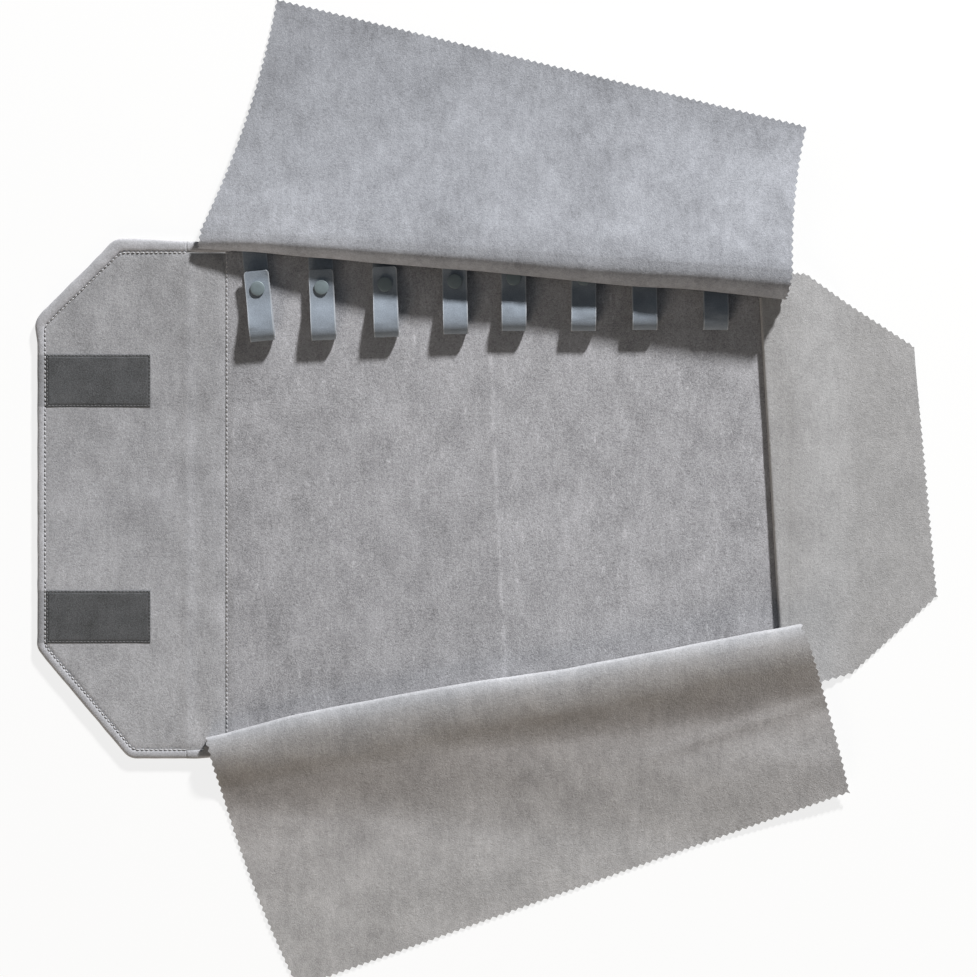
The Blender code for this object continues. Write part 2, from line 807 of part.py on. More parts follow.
def hinge_point(flap, share):
    """Return a point on the line about which a loose flap swings, at its fold's middle."""
    if flap == "side":
        ridge = mix(side_ridge_lower, side_ridge_upper, share)
        low, high = side_levels()
        return ridge[0] + side_radius, ridge[1], (low + high) / 2
    levels = top_levels if flap == "top" else bottom_levels
    ends = (top_ridge_left, top_ridge_right) if flap == "top" else (
        bottom_ridge_left, bottom_ridge_right
    )
    outward = 1.0 if flap == "top" else -1.0
    points = []
    for end, place in zip((0.0, 1.0), ends):
        low, high = levels(end)
        points.append((place[0], place[1] + outward * (high - low) / 2, (low + high) / 2))
    return mix(points[0], points[1], share)


clear_scene()
suede = make_material("silver microsuede", (0.40, 0.40, 0.42), 0.95)
lining_suede = make_material("silver lining microsuede", (0.36, 0.35, 0.36), 0.95)
side_suede = make_material("warm silver microsuede", (0.43, 0.43, 0.42), 0.95)
strap_suede = make_material("blue grey strap microsuede", (0.34, 0.37, 0.42), 0.90)
foam = make_material("white foam interlining", (0.75, 0.75, 0.73), 1.0)
hook_tape = make_material("dark grey hook tape", (0.085, 0.09, 0.095), 0.85)
loop_tape = make_material("grey loop tape", (0.16, 0.165, 0.17), 0.95)
snap_enamel = make_material("grey enamelled brass", (0.22, 0.25, 0.26), 0.40, 0.3)
snap_metal = make_material("nickel plated brass", (0.60, 0.60, 0.58), 0.30, 1.0)

make_panel()
make_end_flap()
for strap_number in range(1, strap_count + 1):
    make_strap(strap_number)
make_top_flap()
make_bottom_flap()
make_side_flap()
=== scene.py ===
"""Jewelry roll of grey microsuede, laid open: its cloth, straps, snaps and stitching, and the stage."""

import math

import bpy
import numpy as np
from bpy.props import FloatProperty, FloatVectorProperty, IntProperty, PointerProperty
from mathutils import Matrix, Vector


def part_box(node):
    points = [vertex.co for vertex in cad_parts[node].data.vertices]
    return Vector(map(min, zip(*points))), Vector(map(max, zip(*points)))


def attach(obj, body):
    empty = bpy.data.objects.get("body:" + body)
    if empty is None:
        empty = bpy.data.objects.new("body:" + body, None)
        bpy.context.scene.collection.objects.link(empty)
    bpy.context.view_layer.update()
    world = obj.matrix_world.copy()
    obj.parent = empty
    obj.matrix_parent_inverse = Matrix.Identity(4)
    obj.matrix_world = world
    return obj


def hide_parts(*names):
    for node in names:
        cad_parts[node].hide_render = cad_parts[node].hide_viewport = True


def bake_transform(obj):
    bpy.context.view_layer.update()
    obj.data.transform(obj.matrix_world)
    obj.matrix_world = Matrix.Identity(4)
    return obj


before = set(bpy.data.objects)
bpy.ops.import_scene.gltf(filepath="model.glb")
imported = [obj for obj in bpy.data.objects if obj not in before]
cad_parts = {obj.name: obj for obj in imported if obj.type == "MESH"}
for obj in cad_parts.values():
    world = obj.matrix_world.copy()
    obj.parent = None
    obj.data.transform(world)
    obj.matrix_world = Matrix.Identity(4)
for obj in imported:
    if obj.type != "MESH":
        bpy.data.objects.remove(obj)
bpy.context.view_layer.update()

bl_info = {
    "name": "Jewelry Roll",
    "version": (1, 0, 0),
    "blender": (4, 5, 0),
    "location": "3D View > Sidebar > Jewelry Roll",
    "description": "Builds the cloth, straps, snaps and stage of an open jewelry roll",
    "category": "Add Mesh",
}

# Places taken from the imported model, in metres
lining_low, lining_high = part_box("panel_lining")
lining_top = lining_high[2]
lining_thickness = lining_high[2] - lining_low[2]
seam_x = lining_low[0]
panel_right = lining_high[0]
panel_half = lining_high[1]
hinge_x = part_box("spine_lining")[0][0]
end_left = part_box("end_flap_hem")[0][0]
hem_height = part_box("end_flap_hem")[1][2]
hook_strip_x = (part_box("hook_strip_upper")[0][0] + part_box("hook_strip_upper")[1][0]) / 2
cap_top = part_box("snap_1_cap")[1][2]

# Thicknesses and heights, the gap that cloths keep, and the levels of the cloths' middles where
# they lie on each other
gap = 0.0003
flap_thickness = 0.0009
strap_thickness = 0.0012
foam_thickness = 0.0011
cover_thickness = 0.0009
hook_tape_thickness = 0.0010
loop_tape_thickness = 0.0008
cap_height = 0.0013
loop_height = 0.0086
on_table = flap_thickness / 2
on_lining = lining_top + gap + flap_thickness / 2
over_tails = lining_top + 2 * gap + strap_thickness + flap_thickness / 2
over_caps = cap_top + gap + flap_thickness / 2
base_leg_level = lining_top + gap + strap_thickness / 2
front_leg_level = cap_top - cap_height - gap - strap_thickness / 2
loop_top_level = base_leg_level + loop_height
fold_level = base_leg_level + 0.48 * loop_height

# The flaps on the table: the ridges where their cloth turns back, the crests behind the ridges
# and the far edges, from left to right, and the side flap's ridge and corners from the ridge's
# lower end
top_ridge = ((-0.2253, 0.1860), (0.2040, 0.1477))
top_crest = ((-0.2233, 0.1980), (0.2066, 0.1667))
top_far = ((-0.1687, 0.3682), (0.2201, 0.2749))
bottom_ridge = ((-0.2194, -0.1735), (0.2150, -0.0897))
bottom_crest = ((-0.2174, -0.1825), (0.2188, -0.0995))
bottom_far = ((-0.1532, -0.3572), (0.2510, -0.2132))
bottom_slope = (bottom_ridge[1][1] - bottom_ridge[0][1]) / (bottom_ridge[1][0] - bottom_ridge[0][0])
side_ridge = ((0.2002, -0.0975), (0.1856, 0.1492))
side_upper_corners = ((0.2091, 0.1668), (0.2194, 0.1661), (0.2495, 0.1455), (0.2995, 0.1132),
                      (0.3005, 0.0992))
side_lower_corners = ((0.2110, -0.1010), (0.2290, -0.1330), (0.2539, -0.1264), (0.3160, -0.0700))
side_radius = 0.0016
seam_inset = 0.0015
seam_run = (-0.2250, 0.2050)
seam_y = panel_half - seam_inset
seam_dip = 0.0005
seam_stitch_offset = 0.0010
seam_stitch_end = 0.004
seam_thread_drop = 0.00025

# Shares of a fold's cloth at which the lip round its ridge and the front behind it begin
lip_start = 0.35
front_start = 0.75

# The end flap: its hem, which bulges outwards in places, its two slanting cuts as (along x, along y)
# and the fastening strips
hem_width = 0.0058
upper_bulge = 0.0027
lower_bulge = 0.0012
mean_swell = 0.955
hem_thread_drop = 0.0001
upper_cut, lower_cut = (0.0588, 0.0570), (0.0676, 0.0802)
upper_slope, lower_slope = upper_cut[1] / upper_cut[0], lower_cut[1] / lower_cut[0]
strip_size = (0.0764, 0.0382)
strip_places = {"upper": 0.0882, "lower": -0.0849}
loop_strip_x = 0.1415
strip_stitch_pitch = 0.0026
strip_stitch_inset = 0.0009
strip_thread_width = 0.0006

# The straps from left to right, measured from where each turns back at the front of its loop
first_strap_x = -0.1782
strap_pitch = 0.0473
strap_shift = (0.0, -0.0025, -0.0040, -0.0008, -0.0055, -0.0021, -0.0045, 0.0)
strap_fold_y = (0.1176, 0.1183, 0.1205, 0.1227, 0.1250, 0.1250, 0.1257, 0.1257)
strap_lean = (5.8, 2.9, 2.0, 1.2, 0.4, -0.6, 0.5, -0.4)
strap_width = 0.0181
strap_length = 0.0510
loop_run = 0.0080
snap_from_fold = 0.0380
snap_cap_radius = 0.00535

finishes = {}


def mix(first, second, share):
    """Go from the first value to the second by a share; the values may be arrays."""
    return first + (second - first) * share


def ease(value):
    """Held between 0 and 1, t becomes 3t^2 - 2t^3."""
    held = np.clip(value, 0.0, 1.0)
    return held * held * (3 - 2 * held)


def lattice(rows, columns):
    """Return the shares across and along a grid, each with the shape (rows, columns)."""
    along, across = np.meshgrid(np.linspace(0, 1, rows), np.linspace(0, 1, columns), indexing="ij")
    return across, along


def ripples(x, y, seed, waves, shortest, longest):
    """Sum plane waves of seeded directions and lengths, the long ones highest, to about -1 to 1."""
    picked = np.random.default_rng(seed)
    lengths = shortest * (longest / shortest) ** picked.random(waves)
    angles = picked.random(waves) * 2 * math.pi
    phases = picked.random(waves) * 2 * math.pi
    heights = lengths / longest
    beat = 2 * math.pi / lengths
    travel = (np.multiply.outer(x, beat * np.cos(angles)) + np.multiply.outer(y, beat * np.sin(angles))
              + phases)
    return (np.sin(travel) * heights).sum(-1) / math.sqrt((heights ** 2).sum() * 1.6)


def triangle_wave(turns):
    """Swing between -1 and 1 in straight lines, once for each whole turn."""
    return 4 * np.abs(turns - np.floor(turns) - 0.5) - 1


def stacked(x, y, z):
    """Join three coordinate arrays to an array of points."""
    return np.stack(np.broadcast_arrays(x, y, z), -1).astype(float)


def polyline(points, stops, shares):
    """Place shares on straight lines between points, each reached at its stop."""
    return np.stack([np.interp(shares, stops, column) for column in np.array(points).T], -1)


def bowed(start, finish, shares, bow):
    """Place shares on a line that bows sideways by 4s(1-s) times the bow."""
    first, last = np.array(start), np.array(finish)
    way = last - first
    side = np.array((-way[1], way[0])) / np.hypot(*way)
    bulge = 4 * shares * (1 - shares) * bow
    return first + np.multiply.outer(shares, way) + np.multiply.outer(bulge, side)


def normalised(ways):
    """Scale vectors to a length of 1."""
    return ways / np.linalg.norm(ways, axis=-1, keepdims=True)


def spans(path):
    """Lengths of the steps between the points of a path."""
    return np.linalg.norm(np.diff(path, axis=0), axis=-1)


def travelled(path):
    """How far along the path each of its points lies."""
    return np.concatenate(([0.0], np.cumsum(spans(path))))


def on_line(line, share):
    """x and y at a share of the straight line between two points."""
    (first_x, first_y), (last_x, last_y) = line
    return mix(first_x, last_x, share), mix(first_y, last_y, share)


def pinked(points, edge, turns, depth, margin=0.005):
    """Cut one edge of a grid with pinking shears.

    The edge's points swing in and out of the cloth in a triangle wave of the given turns, and
    the points behind it follow by a share that falls to nothing at the margin.
    """
    turned = {"far": points, "right": points.swapaxes(0, 1),
              "left": points.swapaxes(0, 1)[::-1]}[edge]
    rim = turned[-1].copy()
    side = normalised(rim - turned[-2])
    fade = np.clip(1 - np.linalg.norm(turned - rim, axis=-1) / margin, 0, 1)
    turned += side * (triangle_wave(turns) * depth / 2)[:, None] * fade[..., None]
    return points


def turns_back(rim, pitch):
    """Count the teeth of a pitch along an edge, from none at its last point."""
    reach = travelled(rim)
    return (reach[-1] - reach) / pitch


def add_piece(name, points, faces, finish, shares=None):
    """Put points and faces into a new smooth mesh object at the origin, with its own UV map."""
    mesh = bpy.data.meshes.new(name)
    mesh.from_pydata(points.reshape(-1, 3).tolist(), [], faces)
    if shares is not None:
        corner_of = np.empty(len(mesh.loops), dtype=np.int64)
        mesh.loops.foreach_get("vertex_index", corner_of)
        layer = mesh.uv_layers.new(name="UVMap")
        layer.data.foreach_set("uv", shares.reshape(-1, 2)[corner_of].astype(np.float32).ravel())
    mesh.materials.append(finish)
    mesh.shade_smooth()
    piece = bpy.data.objects.new(name, mesh)
    bpy.context.scene.collection.objects.link(piece)
    return piece


def grid_faces(rows, columns, wrapped=False, closed=False):
    """Return the quads of a grid; wrapped joins its last column to its first, closed adds end faces."""
    index = np.arange(rows * columns).reshape(rows, columns)
    if wrapped:
        index = np.concatenate((index, index[:, :1]), axis=1)
    quads = np.stack((index[:-1, :-1], index[:-1, 1:], index[1:, 1:], index[1:, :-1]), -1)
    faces = quads.reshape(-1, 4).tolist()
    if closed:
        ends = np.arange(rows * columns).reshape(rows, columns)
        faces.append(ends[0][::-1].tolist())
        faces.append(ends[-1].tolist())
    return faces


def surface_normals(points):
    """Unit normals of a grid surface: the cross product of its slopes across and along."""
    return normalised(np.cross(np.gradient(points, axis=1), np.gradient(points, axis=0)))


def sheet_piece(name, points, thickness, finish, normals=None):
    """Make a closed cloth from a grid of points on its middle.

    One copy of the grid lies half the thickness along the normals and one half against them.
    A band of faces round the rim joins the two, behind edges marked sharp.
    """
    rows, columns = points.shape[:2]
    across, along = lattice(rows, columns)
    rise = (surface_normals(points) if normals is None else normals) * thickness / 2
    count = rows * columns
    upper = np.array(grid_faces(rows, columns))
    index = np.arange(count).reshape(rows, columns)
    rim = np.concatenate((index[0], index[1:, -1], index[-1, -2::-1], index[-2:0:-1, 0]))
    ahead = np.roll(rim, -1)
    walls = np.stack((rim + count, ahead + count, ahead, rim), -1)
    faces = np.concatenate((upper, upper[:, ::-1] + count, walls))
    shares = np.stack((across, along), -1)
    piece = add_piece(name, np.stack((points + rise, points - rise)), faces.tolist(), finish,
                      np.stack((shares, shares)))
    mesh = piece.data
    ends = np.empty(len(mesh.edges) * 2, dtype=np.int64)
    mesh.edges.foreach_get("vertices", ends)
    on_rim = np.zeros(count, dtype=bool)
    on_rim[rim] = True
    first, second = ends.reshape(-1, 2).T
    same_side = (first < count) == (second < count)
    beside = on_rim[first % count] & on_rim[second % count] & same_side
    mesh.attributes.new("sharp_edge", "BOOLEAN", "EDGE").data.foreach_set("value", beside)
    outward_faces(mesh)
    return piece


def tube_piece(name, points, finish):
    """Make a closed tube of a grid whose rows are rings round its path."""
    rows, columns = points.shape[:2]
    across, along = lattice(rows, columns)
    faces = grid_faces(rows, columns, wrapped=True, closed=True)
    piece = add_piece(name, points, faces, finish, np.stack((across, along), -1))
    outward_faces(piece.data)
    return piece


def turned_piece(name, profile, sides, finish, place):
    """Turn a profile of (radius, height) about an upright axis at a place; its ends are poles.

    A point is the place plus radius times (cos a, sin a) and its height.
    """
    radius, height = np.array(profile).T
    angle = np.linspace(0, 2 * math.pi, sides, endpoint=False)
    rings = stacked(
        place[0] + np.multiply.outer(radius[1:-1], np.cos(angle)),
        place[1] + np.multiply.outer(radius[1:-1], np.sin(angle)),
        place[2] + height[1:-1, None],
    )
    rows = len(radius) - 2
    poles = np.array([[place[0], place[1], place[2] + height[0]],
                      [place[0], place[1], place[2] + height[-1]]])
    faces = grid_faces(rows, sides, wrapped=True)
    first, last = rows * sides, rows * sides + 1
    here = np.arange(sides)
    beside = np.roll(here, -1)
    bottom = (rows - 1) * sides
    faces += np.stack((np.full(sides, first), beside, here), -1).tolist()
    faces += np.stack((np.full(sides, last), bottom + here, bottom + beside), -1).tolist()
    points = np.concatenate((rings.reshape(-1, 3), poles))
    piece = add_piece(name, points, faces, finish)
    outward_faces(piece.data)
    return piece


def outward_faces(mesh):
    """Turn a closed mesh's faces outwards if the volume that they enclose comes out negative."""
    mesh.calc_loop_triangles()
    corners = np.empty(len(mesh.loop_triangles) * 3, dtype=np.int64)
    mesh.loop_triangles.foreach_get("vertices", corners)
    places = np.empty(len(mesh.vertices) * 3)
    mesh.vertices.foreach_get("co", places)
    a, b, c = places.reshape(-1, 3)[corners.reshape(-1, 3)].swapaxes(0, 1)
    if np.einsum("ij,ij->i", a, np.cross(b, c)).sum() < 0:
        mesh.flip_normals()
    mesh.update()


def stitch_piece(name, path, pitch, width, finish, sink=0.0002):
    """Lay short stitches along a path, each a bead whose ends dip into the cloth.

    The path's arc length is cut into even steps. A stitch takes 0.72 of its step. It is four
    rings of six points at -1, -0.55, 0.55 and 1 times its half length, whose radius is 0.35,
    1, 1 and 0.35 of half its width, and its ends lie lower by the sink.
    """
    reach = travelled(path)
    count = max(1, int(reach[-1] / pitch))
    middles = (np.arange(count) + 0.5) * reach[-1] / count
    half = pitch * 0.72 / 2
    way = normalised(polyline(path, reach, middles + half) - polyline(path, reach, middles - half))
    side = normalised(np.stack((-way[:, 1], way[:, 0], np.zeros(count)), -1))
    up = np.cross(way, side)
    station = np.array((-1.0, -0.55, 0.55, 1.0))
    swell = np.array((0.35, 1.0, 1.0, 0.35)) * width / 2
    dip = np.array((1.0, 0.0, 0.0, 1.0)) * sink
    sides = 6
    angle = np.linspace(0, 2 * math.pi, sides, endpoint=False)
    out = np.multiply.outer(swell, np.cos(angle))[..., None]
    rise = (np.multiply.outer(swell, np.sin(angle)) - dip[:, None])[..., None]
    rings = (polyline(path, reach, middles)[:, None, None]
             + way[:, None, None] * (station * half)[:, None, None]
             + side[:, None, None] * out + up[:, None, None] * rise)
    faces = grid_faces(len(station), sides, wrapped=True, closed=True)
    quads, ends = np.array(faces[:-2]), np.array(faces[-2:])
    shift = (np.arange(count) * len(station) * sides)[:, None, None]
    faces = (quads + shift).reshape(-1, 4).tolist() + (ends + shift).reshape(-1, sides).tolist()
    piece = add_piece(name, rings, faces, finish)
    outward_faces(piece.data)
    return piece


class Wire:
    """An output socket on which sums, products and the like add their Math nodes."""

    def __init__(self, shop, socket):
        self.shop = shop
        self.socket = socket

    def joined(self, operation, first, second):
        return self.shop.node("ShaderNodeMath", {"operation": operation}, {0: first, 1: second})

    def __add__(self, other):
        return self.joined("ADD", self, other)

    def __radd__(self, other):
        return self.joined("ADD", other, self)

    def __sub__(self, other):
        return self.joined("SUBTRACT", self, other)

    def __rsub__(self, other):
        return self.joined("SUBTRACT", other, self)

    def __mul__(self, other):
        return self.joined("MULTIPLY", self, other)

    def __truediv__(self, other):
        return self.joined("DIVIDE", self, other)

    def low(self, other):
        return self.joined("MINIMUM", self, other)

    def high(self, other):
        return self.joined("MAXIMUM", self, other)

    def held(self):
        return self.high(0.0).low(1.0)

    def size(self):
        return self.joined("ABSOLUTE", self, 0.0)


class Shop:
    """A material or world's node tree, and the one method that adds a node to it."""

    def __init__(self, owner):
        owner.use_nodes = True
        self.owner = owner
        self.tree = owner.node_tree
        self.tree.nodes.clear()

    def node(self, kind, settings=None, values=None, output=0):
        """Add a node, give it its settings, then its sockets' values or links, and return an output."""
        made = self.tree.nodes.new(kind)
        for name, value in (settings or {}).items():
            if name == "stops":
                elements = made.color_ramp.elements
                while len(elements) < len(value):
                    elements.new(1.0)
                for element, (position, colour) in zip(elements, value):
                    element.position = position
                    element.color = (*colour, 1.0)
            else:
                setattr(made, name, value)
        for name, value in (values or {}).items():
            if isinstance(value, Wire):
                self.tree.links.new(value.socket, made.inputs[name])
            else:
                made.inputs[name].default_value = value
        return Wire(self, made.outputs[output]) if len(made.outputs) else None

    def coordinates(self, kind="Object"):
        """Return the object's own coordinates, or its UV map."""
        return self.node("ShaderNodeTexCoord", output=kind)

    def noise(self, where, size, detail, roughness):
        """Return a noise whose patches are about one size across, from 0 to 1."""
        return self.node("ShaderNodeTexNoise", {}, {
            "Vector": where, "Scale": 1 / size, "Detail": detail, "Roughness": roughness})

    def axis(self, where, letter):
        """Return one coordinate of a vector."""
        return self.node("ShaderNodeSeparateXYZ", {}, {0: where}, output=letter)

    def stretched(self, where, scale, turn=(0.0, 0.0, 0.0)):
        """Scale and turn a vector."""
        return self.node("ShaderNodeMapping", {}, {"Vector": where, "Scale": scale, "Rotation": turn})

    def ramp(self, value, low, high):
        """Carry a value from low and high to 0 and 1, eased and held."""
        return self.node("ShaderNodeMapRange", {"interpolation_type": "SMOOTHSTEP"}, {
            "Value": value, "From Min": low, "From Max": high})

    def blend(self, share, first, second, mode="MIX"):
        """Mix two colours by a share, or join them in another mode."""
        return self.node("ShaderNodeMix", {"data_type": "RGBA", "blend_type": mode}, {
            0: share, 6: first, 7: second}, output=2)

    def bump(self, height, distance, strength):
        """Return the normal that a height map gives."""
        return self.node("ShaderNodeBump", {}, {
            "Height": height, "Distance": distance, "Strength": strength})

    def skin(self, values):
        """Finish the tree with a Principled shader of these values, and return its material."""
        shader = self.node("ShaderNodeBsdfPrincipled", {}, values)
        self.node("ShaderNodeOutputMaterial", {}, {"Surface": shader})
        return self.owner

    def seen_rays(self):
        """Return the camera's rays, and with them the rays that it sees in gloss or through glass."""
        camera, gloss, clear = (self.node("ShaderNodeLightPath", output=f"Is {kind} Ray")
                                for kind in ("Camera", "Glossy", "Transmission"))
        return camera, camera.high(gloss).high(clear)


def setting(name, description, default, low, high, unit="LENGTH"):
    """A number that the panel shows, a length in metres if no other unit is given."""
    return FloatProperty(name=name, description=description, default=default, unit=unit,
                         min=low, max=high)


def tint(name, description, default):
    """A colour that the panel shows."""
    return FloatVectorProperty(name=name, description=description, default=default, subtype="COLOR",
                               size=3, min=0, max=1)


class RollColours(bpy.types.PropertyGroup):
    """Colours of the roll's cloths, tapes, thread and snaps."""

    suede: tint("Suede", "Silver microsuede of the cover, end flap and hem", (0.375, 0.377, 0.400))
    top: tint("Top flap", "Cool silver microsuede of the top flap", (0.290, 0.300, 0.330))
    bottom: tint("Bottom flap", "Silver microsuede of the bottom flap, brushed to its warm side",
                 (0.375, 0.370, 0.374))
    lining: tint("Lining", "Brushed microsuede that lines the panel", (0.345, 0.345, 0.366))
    side: tint("Side flap", "Side flap's cloth, seen from its plain back", (0.352, 0.350, 0.356))
    strap: tint("Straps", "Snap straps", (0.215, 0.247, 0.290))
    hook: tint("Hook tape", "Woven hook strips on the end flap", (0.070, 0.073, 0.078))
    loop: tint("Loop tape", "Brushed loop strips on the back", (0.105, 0.108, 0.112))
    thread: tint("Thread", "Grey sewing thread", (0.50, 0.50, 0.52))
    dark_thread: tint("Strip thread", "Dark thread round the fastening strips", (0.150, 0.153, 0.158))
    enamel: tint("Snap enamel", "Satin enamel of the snap caps", (0.180, 0.222, 0.240))
    metal: tint("Snap metal", "Nickel plate of the snap studs", (0.60, 0.60, 0.58))
    foam: tint("Interlining", "Foam between cover and lining", (0.72, 0.72, 0.70))


class RollSizes(bpy.types.PropertyGroup):
    """Sizes of the cloth's finish that the solids leave out."""

    tooth_pitch: setting("Pinked tooth pitch", "Distance between the teeth of a pinked edge",
                         0.0050, 0.002, 0.01)
    tooth_depth: setting("Pinked tooth depth", "Depth of the teeth of a pinked edge",
                         0.0017, 0.0005, 0.004)
    stitch_pitch: setting("Stitch pitch", "Length of one stitch with its gap", 0.0034, 0.002, 0.006)
    thread_width: setting("Thread width", "Thickness of the sewing thread", 0.0008, 0.0003, 0.0012)
    flap_waves: setting("Flap waves", "Height of the soft waves in the loose flaps", 0.0011, 0.0, 0.003)
    lining_waves: setting("Lining waves", "Height of the soft hollows in the padded panel",
                          0.00022, 0.0, 0.0006)
    edge_draw: setting("Edge draw", "How far the lining is drawn down to its sewn edge",
                       0.0011, 0.0, 0.0020)
    cap_sides: IntProperty(
        name="Cap sides", description="Faces round a snap cap", default=56, min=12, max=96)


class RollStage(bpy.types.PropertyGroup):
    """The studio: camera, lamps and even light."""

    camera_height: setting("Camera height", "Height of the camera above the table", 1.90, 0.5, 5)
    frame_width: setting("Frame width", "Width of table that the camera sees", 0.7181, 0.2, 2)
    frame_middle: FloatVectorProperty(
        name="Frame middle", description="Place on the table under the camera",
        default=(-0.0132, 0.0092), size=2, unit="LENGTH")
    lamp_distance: setting("Lamp distance", "Distance of the softbox from the roll", 5.5, 1, 6)
    lamp_size: setting("Lamp size", "Width of the softbox", 0.50, 0.05, 2)
    lamp_power: setting("Lamp power", "Power of the softbox", 645.0, 1, 1000, "POWER")
    lamp_way: FloatVectorProperty(
        name="Lamp direction", description="Way from the roll to the softbox",
        default=(0.40, 0.82, 0.36), size=3)
    bounce_way: FloatVectorProperty(
        name="Bounce direction", description="Way from the roll to the warm bounce card",
        default=(-0.35, -0.88, 0.26), size=3)
    bounce_power: setting("Bounce power", "Power of the warm bounce card", 41.0, 0, 500, "POWER")
    bounce_size: setting("Bounce size", "Width of the warm bounce card", 1.4, 0.2, 4)
    fill: setting("Fill light", "Strength of the even light from all round", 0.13, 0, 2, "NONE")


def shades(colour, dark=0.5, pale=1.5):
    """A colour times dark and times pale, the two ends of a blend."""
    return (*(c * dark for c in colour), 1.0), (*(min(1.0, c * pale) for c in colour), 1.0)


def greys(*stops):
    """Stops of a grey ramp from pairs of place and value."""
    return [(place, (value, value, value)) for place, value in stops]


def suede_finish(name, colour, mottling, grain, scuffs, lay, patches, tones=None, crease=None):
    """Short napped cloth: patches where the nap lies two ways, brushed streaks, scuffs and grain.

    The base colour is the colour times 1 plus the patches and streaks, 2 mm blotches, fine
    speckle and pale scuffs where the nap is rubbed, each by its own share. Tones are
    (slope in x, slope in y, start, length, stops): the colours of the stops multiply the base
    by the share of the length that slope_x x + slope_y y lies beyond the start; on the top and
    bottom flaps these tones are painted highlights and painted shade. A crease is
    (place, lean): a rubbed line along x = place + lean y.
    """
    shop = Shop(bpy.data.materials.new(name))
    where = shop.coordinates()
    patch = shop.noise(where, patches, 5.0, 0.68) - 0.5
    turned = shop.stretched(where, (1.0, 0.38, 1.0), (0.0, 0.0, lay))
    streak = shop.noise(turned, 0.0060, 4.0, 0.72) - 0.5
    blotch = shop.noise(where, 0.0021, 2.0, 0.70) - 0.5
    speck = shop.noise(where, 0.00092, 2.0, 0.85) - 0.5
    rubbed = shop.ramp(shop.noise(turned, 0.0046, 5.0, 0.78), 0.54, 0.70)
    zone = shop.ramp(shop.noise(where, 0.055, 2.0, 0.5), 0.44, 0.62)
    nap = (patch * (0.62 * mottling) + streak * (0.42 * mottling) + blotch * (0.50 * grain)
           + speck * (1.05 * grain) + rubbed * zone * scuffs)
    x, y = shop.axis(where, "X"), shop.axis(where, "Y")
    if crease:
        off_line = (x - crease[0] - y * crease[1] + patch * 0.004).size()
        nap = nap + shop.ramp(off_line, 0.0026, 0.0002) * shop.ramp(streak, -0.10, 0.12) * 0.26
    base = shop.blend((nap + 0.5).held(), *shades(colour))
    # Tone ramp multiplied into the base: painted highlights and painted shade on the top and bottom
    # flaps
    if tones:
        slope_x, slope_y, start, length, stops = tones
        share = (x * slope_x + y * slope_y - start) / length + patch * 0.12
        tone = shop.node("ShaderNodeValToRGB", {"stops": stops}, {0: share})
        base = shop.blend(1.0, base, tone, "MULTIPLY")
    relief = speck * 0.7 + blotch * 0.6 + streak * 0.8
    return shop.skin({
        "Base Color": base, "Roughness": 0.93 - patch * 0.12,
        "Normal": shop.bump(relief, 0.0006, 0.55),
        "Specular IOR Level": 0.15, "Sheen Weight": 0.15, "Sheen Roughness": 0.6,
    })


def plain_nap(shop, where, colour, speck_size, speck_share, patch_size, patch_share):
    """A nap's speckles and soft patches, and the base colour that their shares make."""
    speck = shop.noise(where, speck_size, 2.0, 0.75) - 0.5
    patch = shop.noise(where, patch_size, 3.0, 0.6) - 0.5
    nap = patch * patch_share + speck * speck_share
    return speck, patch, shop.blend((nap + 0.5).held(), *shades(colour))


def hem_finish(name, colour):
    """Suede of the rolled hem, darker where a hook strip's end lies under it."""
    shop = Shop(bpy.data.materials.new(name))
    where = shop.coordinates()
    speck, patch, base = plain_nap(shop, where, colour, 0.0009, 1.10, 0.012, 0.60)
    height = shop.axis(where, "Y")
    outer = shop.ramp(shop.axis(where, "X"), hinge_x - 0.060, hinge_x - 0.100)
    half = strip_size[1] / 2
    for middle in strip_places.values():
        inside = shop.ramp((height - middle).size(), half + 0.0006, half - 0.0006) * outer
        base = shop.blend(inside * 0.42, base, (0.07, 0.073, 0.078, 1.0))
    return shop.skin({
        "Base Color": base, "Roughness": 0.92 - patch * 0.1,
        "Normal": shop.bump(speck * 0.7 + patch * 0.8, 0.0006, 0.5),
        "Specular IOR Level": 0.15, "Sheen Weight": 0.15, "Sheen Roughness": 0.6,
    })


def strap_finish(name, colour):
    """Strap microsuede, paler along its two cut edges, which its UV map finds at 0 and 1."""
    shop = Shop(bpy.data.materials.new(name))
    where = shop.coordinates()
    across = shop.axis(shop.coordinates("UV"), "X")
    border = shop.ramp((across - 0.5).size(), 0.445, 0.485)
    speck, patch, base = plain_nap(shop, where, colour, 0.0008, 0.70, 0.009, 0.45)
    base = shop.blend(border * 0.40, base, (0.52, 0.54, 0.57, 1.0))
    return shop.skin({
        "Base Color": base, "Roughness": 0.88 - patch * 0.15,
        "Normal": shop.bump(speck * 0.8 + patch * 0.4, 0.0004, 0.45),
        "Specular IOR Level": 0.2, "Sheen Weight": 0.12, "Sheen Roughness": 0.5,
    })


